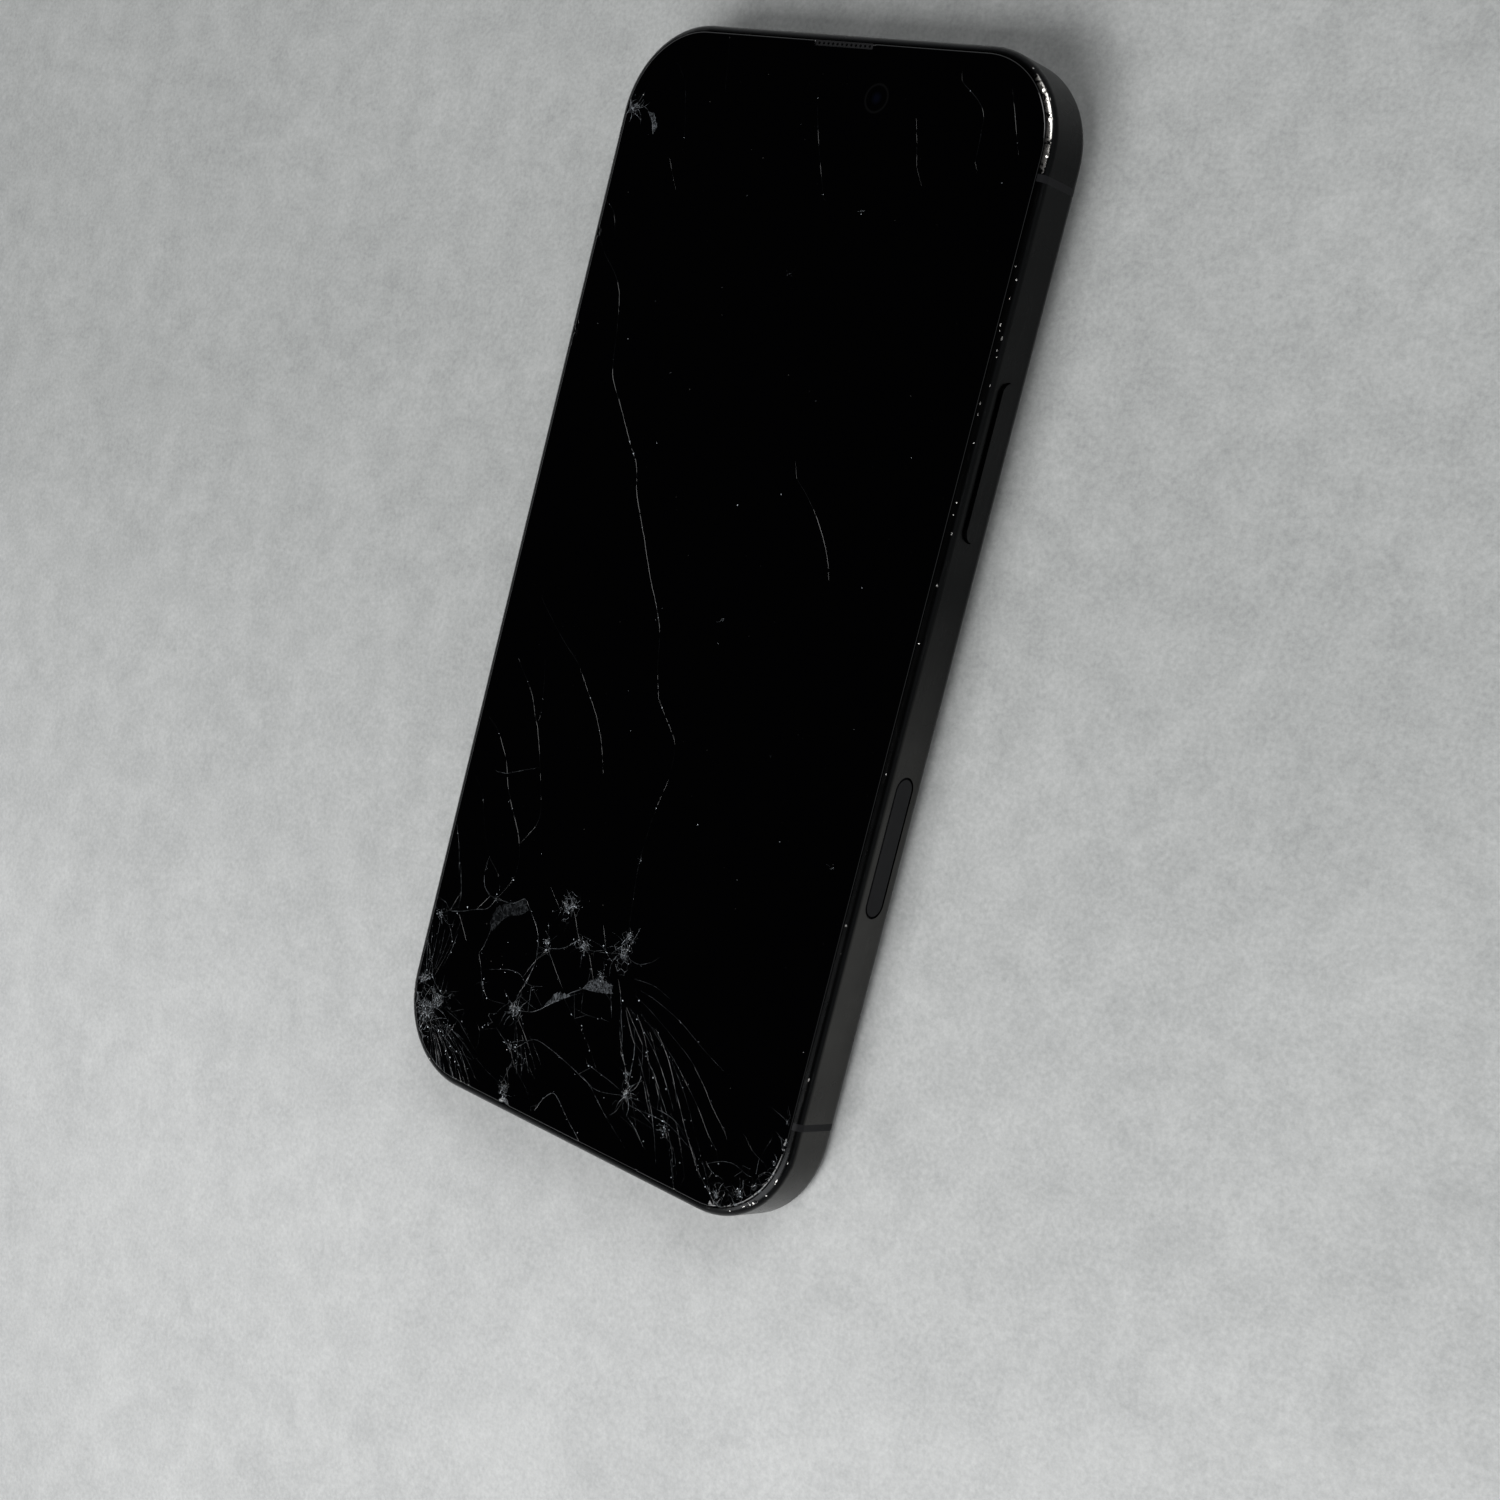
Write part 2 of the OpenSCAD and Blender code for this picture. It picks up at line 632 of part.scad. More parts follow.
module charging_coil() {
    steps = 20;
    pitch = 0.95;
    strip = 0.6;
    r0 = coil_r - pitch * coil_turns - strip;
    n = coil_turns * steps;
    color([0.72, 0.38, 0.16]) translate([0, coil_y, coil_z0]) linear_extrude(0.35)
        polygon(concat([for (i = [0 : n]) spiral(i / steps, r0, pitch)],
            [for (i = [n : -1 : 0]) spiral(i / steps, r0 + strip, pitch)]));
}

module coil_shield() {
    color([0.25, 0.25, 0.27]) rod_z([0, coil_y], coil_z0 + 0.35, coil_z0 + 0.55, coil_r + 1.6);
}

module magnet_ring() {
    arc = 360 / magnet_count - 3;
    color([0.7, 0.7, 0.72]) translate([0, coil_y, coil_z0]) for (i = [0 : magnet_count - 1])
        rotate([0, 0, i * 360 / magnet_count + 1.5]) rotate_extrude(angle = arc)
            translate([coil_r + 2.4, 0]) square([2.6, 0.5]);
}

module battery() {
    tab_y = battery_y + battery_h;
    color([0.11, 0.11, 0.12]) {
        slab(battery_x, battery_x + battery_w, battery_y, tab_y, battery_z0, battery_z1, 2);
        slab(battery_x + 3, battery_x + 15, tab_y - 1, tab_y + 1.6, battery_z0 + 0.9, battery_z1 - 1.2, 0.4);
    }
}

// Pull strips that hold the battery to the middle plate
module battery_adhesive() {
    color([0.9, 0.9, 0.88]) for (i = [0 : 2])
        block(battery_x + 3 + i * 12, battery_x + 11 + i * 12, battery_y + 1, battery_y + (i == 1 ? 26 : 76),
            battery_z1, plate_z0);
}

// Board and what is on it

module logic_board() {
    color([0.05, 0.16, 0.1]) difference() {
        slab(board_left, board_right, board_bottom, board_top, board_z0, board_z1, 1.2);
        for (p = posts)
            rod_z(p, board_z0 - eps, board_z1 + eps, 0.75);
        slab(board_right - 6, board_right + 4, 42, 52, board_z0 - eps, board_z1 + eps, 0.8);
    }
}

module board_shields() {
    mid_x = (board_left + board_right) / 2;
    color([0.66, 0.67, 0.69]) {
        for (can = [[-31, -8], [-6, 8.5], [28, 40]])
            slab(board_left + 4, board_right - 4, can[0], can[1], board_z1, battery_z1 - 0.2, 0.8);
        for (can = [[-31, -4], [15.5, 40]])
            slab(board_left + 4, board_right - 4, can[0], can[1], board_z0 - 0.7, board_z0, 0.8);
        slab(board_left + 1, mid_x + 1, 43.5, 54.5, board_z1, battery_z1 - 0.2, 0.8);
    }
}

module connector(x, y, l, w) {
    block(x - l / 2, x + l / 2, y - w / 2, y + w / 2, board_z1, board_z1 + 0.55);
}

module board_connectors() {
    color([0.15, 0.15, 0.15]) {
        connector(board_left + 2.6, 20, 2.2, 9);
        connector(board_right - 3.2, 13, 2.4, 5);
        connector(board_right - 3.2, 21, 2.4, 7);
        connector((board_left + board_right) / 2, -35, 8, 2.2);
        connector(board_right - 6, 55.5, 3, 4);
    }
}

module connector_cover() {
    color([0.6, 0.6, 0.62])
        slab(board_right - 5, board_right - 1.4, 9.6, 26, board_z1 + 0.65, board_z1 + 0.85, 0.6);
}

// What looks and sounds out through the top of the cover glass

module front_camera() {
    x = front_camera_at[0];
    y = front_camera_at[1];
    color([0.05, 0.06, 0.12]) difference() {
        union() {
            rod_z(front_camera_at, plate_z1 + 0.6 - tiny, glass_back - 0.05, front_camera_r + 0.6);
            slab(x - 3.1, x + 3.1, y - 3.1, y + 3.1, mid_z - 0.6, plate_z1 + 0.6, 0.5);
        }
        translate([x, y, glass_back - 0.65]) cylinder(h = 0.65, r1 = 0.6, r2 = front_camera_r);
    }
}

module sensor_module() {
    y = front_camera_at[1];
    color([0.1, 0.1, 0.12]) {
        slab(-12, 3.6, y - 3.1, y + 3.1, mid_z - 0.2, plate_z1 + 0.2, 0.6);
        for (x = [-9.2, -4.6, 0.4])
            rod_z([x, y], plate_z1 + 0.2 - tiny, glass_back - 0.1, x < -9 ? 1.9 : 1.5);
    }
}

module earpiece_speaker() {
    y = front_camera_at[1];
    color([0.12, 0.12, 0.13])
        slab(-9, 10.5, y + 3.3, inner_h - 0.2, mid_z - 0.4, plate_z1 + 0.9, 0.6);
}

// Bottom of the body

module loudspeaker() {
    right = inner_w - 3.6;
    color([0.1, 0.1, 0.11]) {
        slab(9.5, right, -67.4, -49, rear_ledge + 0.5, battery_z1, 1.5);
        slab(10.8, right - 5.6, -inner_h + 0.55, -67.4 + eps, mid_z - 1.2, battery_z1, 0.4);
    }
}

module speaker_mesh() {
    color([0.25, 0.25, 0.25]) {
        block(grille_x - 1.3, grille_x + 1.3 + (speaker_holes - 1) * grille_pitch,
            -inner_h + 0.1, -inner_h + 0.35, mid_z - 1, mid_z + 0.85);
        block(-grille_x - 1.3 - (microphone_holes - 1) * grille_pitch, -grille_x + 1.3,
            -inner_h + 0.1, -inner_h + 0.35, mid_z - 1, mid_z + 0.85);
    }
}

module haptic_motor() {
    color([0.62, 0.62, 0.64]) {
        slab(-29.5, -12, -66, -56, rear_ledge + 0.5, battery_z1, 1.2);
        slab(-12 - tiny, -10, -64, -58, rear_ledge + 0.5, rear_ledge + 1.1, 0.5);
    }
}

// Socket shell, its tongue and the block behind it
module charge_port() {
    mouth = -half_h + 0.4;
    back = mouth + 7.8;
    color([0.5, 0.5, 0.52]) {
        difference() {
            end_pill(0, mouth, back, mid_z, port_w - 0.06, port_h - 0.06);
            end_pill(0, mouth - eps, back - 0.8, mid_z, port_w - 0.66, port_h - 0.66);
        }
        block(-3.35, 3.35, mouth + 0.9, back - 0.7, mid_z - 0.35, mid_z + 0.35);
        block(-5.2, 5.2, back - tiny, back + 2.6, mid_z - 1.9, mid_z + 1.3);
    }
}

// Ribbon from the socket, past the battery, to the foot of the board
module port_flex() {
    back = -half_h + 0.4 + 7.8 + 2.6;
    z = ribbon_z + 0.02;
    color([0.75, 0.45, 0.12]) {
        block(-5, 5, back, -51, z, z + ribbon_t);
        block(-20.5, -4.9, -55, -51, z, z + ribbon_t);
        block(-20.5, -16, -51.1, -34, z, z + ribbon_t);
    }
}

module microphones() {
    color([0.7, 0.6, 0.3]) for (i = [0 : microphone_holes - 1])
        block(-grille_x - i * grille_pitch - 1, -grille_x - i * grille_pitch + 1,
            -inner_h + 0.4, -inner_h + 3, mid_z - 1, mid_z + 0.3);
}

// Thin aerials in the corners, behind the breaks in the band
module antenna_flexes() {
    z = battery_z0 - 0.25;
    color([0.78, 0.5, 0.15]) {
        block(-31.5, -19, -55.5, -43, z, z + ribbon_t);
        block(-31, -6, half_h - 12.6, half_h - 6.6, z, z + ribbon_t);
        block(19, inner_w - 1.5, -48.5, -47.8, z, z + 2.15);
        block(inner_w - 1.4, inner_w - 1.4 + ribbon_t, -58, -40, z, z + 2.5);
    }
}

// Fasteners

module cap_screw(at, z0, shaft) {
    difference() {
        union() {
            rod_z(at, z0, z0 + head_h, head_r);
            rod_z(at, z0 + head_h - tiny, z0 + head_h + shaft, screw_r - 0.03);
        }
        for (turn = [0, 60, 120])
            translate([at[0], at[1], z0]) rotate([0, 0, turn]) cube([1, 0.28, 0.5], center = true);
    }
}

module internal_screws() {
    color([0.7, 0.7, 0.72]) {
        for (p = posts)
            cap_screw(p, board_z0 - head_h, 1.7);
        for (p = bracket_posts)
            cap_screw(p, plate_z0 - 1.4 - head_h, 1.0);
    }
}

// Two screws beside the socket, each with a five-lobed recess
module bottom_screws() {
    color([0.2, 0.2, 0.21]) for (x = [-port_screw_x, port_screw_x]) difference() {
        union() {
            rod_y(x, -half_h + 0.05, -half_h + 0.75, mid_z, 0.78);
            rod_y(x, -half_h + 0.74, -inner_h + 0.9, mid_z, screw_r - 0.03);
        }
        for (i = [0 : 4])
            translate([x, 0, mid_z]) rotate([0, 72 * i, 0]) translate([0, -half_h + 0.4, 0.24])
                rotate([90, 0, 0]) cylinder(h = eps, r = 0.15);
        rod_y(x, -half_h - eps, -half_h + 0.4, mid_z, 0.22);
    }
}

// Buttons and the switches that they press

// Cap that slides along X; way is 1 on the right side and -1 on the left
module button_cap(way, y, l, stems) {
    out = half_w + button_proud;
    color([0.09, 0.09, 0.095]) {
        if (way > 0)
            side_pill(half_w - cap_back, out, y, mid_z, l, button_w);
        else
            side_pill(-out, -half_w + cap_back, y, mid_z, l, button_w);
        for (dy = stems) {
            if (way > 0)
                rod_x(half_w - stem_tip, half_w - cap_back + tiny, y + dy, mid_z, stem_r);
            else
                rod_x(-half_w + cap_back - tiny, -half_w + stem_tip, y + dy, mid_z, stem_r);
        }
    }
}

module side_button() {
    button_cap(1, side_button_y, side_button_l, side_stems);
}

module volume_up_button() {
    button_cap(-1, volume_up_y, volume_button_l, [0]);
}

module volume_down_button() {
    button_cap(-1, volume_down_y, volume_button_l, [0]);
}

// Dome that a stem presses, with the strip of metal that carries it
module dome_switch(way, y) {
    face = half_w - stem_tip - button_travel - 0.05;
    if (way > 0)
        rod_x(face - 0.5, face, y, mid_z, 0.8);
    else
        rod_x(-face, -face + 0.5, y, mid_z, 0.8);
}

module switch_strip(way, y0, y1) {
    face = half_w - stem_tip - button_travel - 0.55;
    x0 = way > 0 ? face - 0.3 : -face;
    block(x0, x0 + 0.3, y0, y1, mid_z - 1.6, plate_z0 - 0.05);
}

module side_button_switch() {
    color([0.65, 0.62, 0.5]) {
        for (dy = side_stems)
            dome_switch(1, side_button_y + dy);
        switch_strip(1, side_button_y - 9, side_button_y + 9);
    }
}

module volume_switches() {
    color([0.65, 0.62, 0.5]) {
        for (y = [volume_up_y, volume_down_y])
            dome_switch(-1, y);
        switch_strip(-1, volume_up_y - 3.4, volume_up_y + 4.5);
        switch_strip(-1, volume_down_y - 0.9, volume_down_y + 4.2);
    }
}

// Nub that slides front to back in its pocket, drawn at the end nearer the screen
module mute_switch() {
    z = mid_z + mute_travel / 2;
    color([0.09, 0.09, 0.095]) {
        side_pill(-half_w - 0.35, -half_w + 1.2, mute_y, z, 5.6, 1.5);
        block(-half_w + 1.2 - tiny, -half_w + 2.75, mute_y - 1, mute_y + 1, z - 0.4, z + 0.4);
    }
}

module mute_switch_housing() {
    color([0.3, 0.3, 0.32]) difference() {
        block(-inner_w + 0.05, -inner_w + 2.1, mute_y - 3.6, mute_y + 3.6, mid_z - 1.9, plate_z0 - 0.05);
        block(-inner_w - eps, -inner_w + 1.2, mute_y - 1.5, mute_y + 1.5, mid_z - 1.3, plate_z0 + eps);
    }
}

frame();
antenna_breaks();
antenna_window();
front_glass();
display_gasket();
display_carrier();
display_panel();
display_shield();
display_flex();
earpiece_mesh();
rear_glass();
rear_gasket();
lens_rings();
lens_windows();
flash_lens();
wide_camera();
ultrawide_camera();
camera_bracket();
flash_module();
charging_coil();
coil_shield();
magnet_ring();
battery();
battery_adhesive();
logic_board();
board_shields();
board_connectors();
connector_cover();
front_camera();
sensor_module();
earpiece_speaker();
loudspeaker();
speaker_mesh();
haptic_motor();
charge_port();
port_flex();
microphones();
antenna_flexes();
internal_screws();
bottom_screws();
side_button();
side_button_switch();
volume_up_button();
volume_down_button();
volume_switches();
mute_switch();
mute_switch_housing();
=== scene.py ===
import math

import bmesh
import bpy
import numpy as np
from mathutils import Matrix, Vector
from mathutils.geometry import delaunay_2d_cdt


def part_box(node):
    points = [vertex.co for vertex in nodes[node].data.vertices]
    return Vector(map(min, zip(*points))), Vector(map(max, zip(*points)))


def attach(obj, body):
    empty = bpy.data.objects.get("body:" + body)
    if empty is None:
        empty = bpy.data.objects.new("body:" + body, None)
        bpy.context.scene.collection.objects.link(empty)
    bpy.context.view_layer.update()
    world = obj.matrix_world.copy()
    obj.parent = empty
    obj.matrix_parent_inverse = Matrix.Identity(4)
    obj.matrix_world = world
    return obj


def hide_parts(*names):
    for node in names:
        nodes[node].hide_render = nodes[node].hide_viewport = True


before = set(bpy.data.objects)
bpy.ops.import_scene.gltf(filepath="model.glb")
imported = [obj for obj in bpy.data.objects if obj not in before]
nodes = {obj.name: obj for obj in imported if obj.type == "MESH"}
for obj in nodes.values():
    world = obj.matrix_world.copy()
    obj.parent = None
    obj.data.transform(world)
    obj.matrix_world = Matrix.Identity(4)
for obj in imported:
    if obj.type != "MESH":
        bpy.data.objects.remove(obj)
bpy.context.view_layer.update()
mm = 0.001
perMm = (1 / mm,) * 3
print("frame loaded:", len(nodes), "nodes")


# Shader trees: every input takes a number, a colour or another node's output

class ShaderTree:
    def __init__(self, nodeTree, shader=None):
        self.nodeTree = nodeTree
        self.shader = shader

    def fill(self, sockets, values):
        for name, value in values.items():
            if isinstance(value, bpy.types.NodeSocket):
                self.nodeTree.links.new(value, sockets[name])
            else:
                sockets[name].default_value = value

    def node(self, kind, inputs=None, **settings):
        # The outputs of a new node
        made = self.nodeTree.nodes.new("ShaderNode" + kind)
        for name, value in settings.items():
            setattr(made, name, value)
        self.fill(made.inputs, inputs or {})
        return made.outputs

    def placed(self, group, **inputs):
        return self.node("Group", inputs, node_tree=group)

    def calc(self, operation, a, b=0.5):
        return self.node("Math", {0: a, 1: b}, operation=operation)[0]

    def times(self, a, b):
        return self.calc("MULTIPLY", a, b)

    def plus(self, a, b):
        return self.calc("ADD", a, b)

    def minus(self, a, b):
        return self.calc("SUBTRACT", a, b)

    def below(self, a, b):
        return self.calc("LESS_THAN", a, b)

    def apart(self, a, b):
        # How far apart two values are
        return self.calc("ABSOLUTE", self.minus(a, b))

    def spread(self, value, low, high, toLow=0.0, toHigh=1.0):
        # The value carried in a straight line from low..high to toLow..toHigh
        inputs = {"Value": value, "From Min": low, "From Max": high, "To Min": toLow, "To Max": toHigh}
        return self.node("MapRange", inputs)["Result"]

    def blend(self, factor, a, b):
        return self.node("Mix", {0: factor, 6: a, 7: b}, data_type="RGBA")[2]

    def point(self, scale=None):
        # Where a point lies on its piece, times the scale
        place = self.node("TexCoord")["Object"]
        if scale is None:
            return place
        return self.node("VectorMath", {0: place, 1: scale}, operation="MULTIPLY")[0]

    def part(self, axis):
        return self.node("SeparateXYZ", {0: self.point()})[axis]

    def away(self, centre, scale=perMm):
        # Distance from the centre, in millimetres
        return self.node("VectorMath", {0: self.point(scale), 1: centre}, operation="DISTANCE")["Value"]

    def noise(self, scale, detail=2.0, rough=0.5, at=None):
        at = self.point() if at is None else at
        inputs = {"Vector": at, "Scale": scale, "Detail": detail, "Roughness": rough}
        return self.node("TexNoise", inputs)["Fac"]

    def grained(self, size, contrast):
        return self.placed(grain, Size=size, Contrast=contrast)

    def lined(self, squeeze, width):
        return self.placed(hairlines, Squeeze=squeeze, Width=width)

    def specks(self, spacing, speck, share):
        return self.placed(dust, Spacing=spacing, Speck=speck, Share=share)["Mask"]

    def feed(self, values):
        # Values or links for the shader's own sockets
        self.fill(self.shader.inputs, values)

    def raised(self, height, distance, strength):
        inputs = {"Height": height, "Distance": distance, "Strength": strength}
        self.feed({"Normal": self.node("Bump", inputs)["Normal"]})


def newMaterial(name, values):
    # A material with these values on its shader, and its tree
    made = bpy.data.materials.new(name)
    made.use_nodes = True
    tree = ShaderTree(made.node_tree, made.node_tree.nodes["Principled BSDF"])
    tree.feed(values)
    return made, tree


def newGroup(name, inputs, outputs):
    # A node group with its inputs' first values, and the sockets at its two ends
    group = bpy.data.node_groups.new(name, "ShaderNodeTree")
    for label, value in inputs.items():
        kind = "NodeSocketVector" if isinstance(value, tuple) else "NodeSocketFloat"
        socket = group.interface.new_socket(label, in_out="INPUT", socket_type=kind)
        socket.default_value = value
    for label in outputs:
        group.interface.new_socket(label, in_out="OUTPUT", socket_type="NodeSocketFloat")
    given = group.nodes.new("NodeGroupInput").outputs
    taken = group.nodes.new("NodeGroupOutput").inputs
    return ShaderTree(group), given, taken


# Effects that several finishes share; lengths are in millimetres

def makeGrain():
    # Even noise of about one bump per Size
    tree, given, taken = newGroup("grain", {"Size": 0.1, "Contrast": 1.0}, ["Height", "Tone"])
    height = tree.noise(tree.calc("DIVIDE", 1 / mm, given["Size"]), 3.0, 0.6)
    tone = tree.plus(tree.times(tree.minus(height, 0.5), given["Contrast"]), 0.5)
    tree.fill(taken, {"Height": height, "Tone": tone})
    return tree.nodeTree


def makeDust():
    # Specks: the middles of random cells, kept where a second value drawn for the cell is low
    tree, given, taken = newGroup("dust", {"Spacing": 2.0, "Speck": 0.08, "Share": 0.3}, ["Mask"])
    scale = tree.calc("DIVIDE", 1 / mm, given["Spacing"])
    cells = tree.node("TexVoronoi", {"Vector": tree.point(), "Scale": scale, "Randomness": 1.0})
    drawn = tree.node("SeparateColor", {"Color": cells["Color"]})
    size = tree.calc("DIVIDE", given["Speck"], given["Spacing"])
    inside = tree.below(cells["Distance"], tree.times(size, tree.spread(drawn[1], 0, 1, 0.4, 1.6)))
    tree.fill(taken, {"Mask": tree.times(inside, tree.below(drawn[0], given["Share"]))})
    return tree.nodeTree


def makeWear():
    # Worn patch: distance from Centre over Radius, roughened by noise and cut at Edge
    standard = {"Centre": (0.0, 0.0, 0.0), "Radius": 3.0, "Size": 0.6, "Edge": 0.5}
    tree, given, taken = newGroup("wear", standard, ["Mask"])
    share = tree.calc("DIVIDE", tree.away(given["Centre"]), given["Radius"])
    rough = tree.noise(tree.calc("DIVIDE", 1 / mm, given["Size"]), 5.0, 0.65)
    level = tree.minus(tree.plus(rough, 0.35), tree.times(share, 0.6))
    tree.fill(taken, {"Mask": tree.spread(level, given["Edge"], tree.plus(given["Edge"], 0.05))})
    return tree.nodeTree


def makeHairlines():
    # Thin lines along one way: noise squeezed across the lines and cut near its middle
    standard = {"Squeeze": (300.0, 6.0, 300.0), "Width": 0.02}
    tree, given, taken = newGroup("hairlines", standard, ["Mask", "Height"])
    value = tree.noise(10.0, 3.0, 0.6, tree.point(given["Squeeze"]))
    tree.fill(taken, {"Mask": tree.below(tree.apart(value, 0.5), given["Width"]), "Height": value})
    return tree.nodeTree


grain = makeGrain()
dust = makeDust()
wear = makeWear()
hairlines = makeHairlines()
print("shared effects made")


# Mesh helpers

def meshPiece(name, points, faces, material, body, smooth=False):
    # A piece from its points in metres and its faces
    mesh = bpy.data.meshes.new(name)
    mesh.from_pydata(points.tolist(), [], faces if isinstance(faces, list) else faces.tolist())
    mesh.polygons.foreach_set("use_smooth", np.full(len(mesh.polygons), smooth))
    mesh.materials.append(material)
    mesh.update()
    piece = bpy.data.objects.new(name, mesh)
    bpy.context.scene.collection.objects.link(piece)
    if body:
        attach(piece, body)
    return piece


def gridFaces(rows, cols, closed):
    # Quads between neighbouring rows of a grid; a closed grid joins its last column to its first
    start = np.arange(rows * cols).reshape(rows, cols)
    ahead = np.roll(start, -1, 1) if closed else start[:, 1:]
    here = start if closed else start[:, :-1]
    corners = (here[:-1], ahead[:-1], ahead[1:], here[1:])
    return np.stack([c.reshape(-1) for c in corners], 1)


def waysAt(turn):
    # Unit vectors at these angles
    return np.stack([np.cos(turn), np.sin(turn)], -1)


def farFrom(centre, points):
    # Distance of each point from the centre
    return np.linalg.norm(points - np.asarray(centre), axis=1)


def ringRound(centre, radius, grow, step):
    # Points on a circle, one every step degrees
    return np.asarray(centre) + waysAt(np.radians(np.arange(0, 360, step))) * radius * grow


def triangleSides(tri):
    # The three sides of every triangle: all the first ones, then the second and the third
    return np.concatenate([tri[:, [0, 1]], tri[:, [1, 2]], tri[:, [2, 0]]])


def neighbours(tri):
    # Pairs of triangles that share a side: sorted sides that are the same lie next to each other
    sides = np.sort(triangleSides(tri), axis=1)
    order = np.lexsort((sides[:, 1], sides[:, 0]))
    sides, owner = sides[order], order % len(tri)
    same = np.all(sides[:-1] == sides[1:], axis=1)
    return owner[:-1][same], owner[1:][same]


def triangleArms(p, tri):
    # Two sides of each triangle from its first corner, and their cross product, twice its area
    u = p[tri[:, 1]] - p[tri[:, 0]]
    v = p[tri[:, 2]] - p[tri[:, 0]]
    return u, v, u[:, 0] * v[:, 1] - u[:, 1] * v[:, 0]
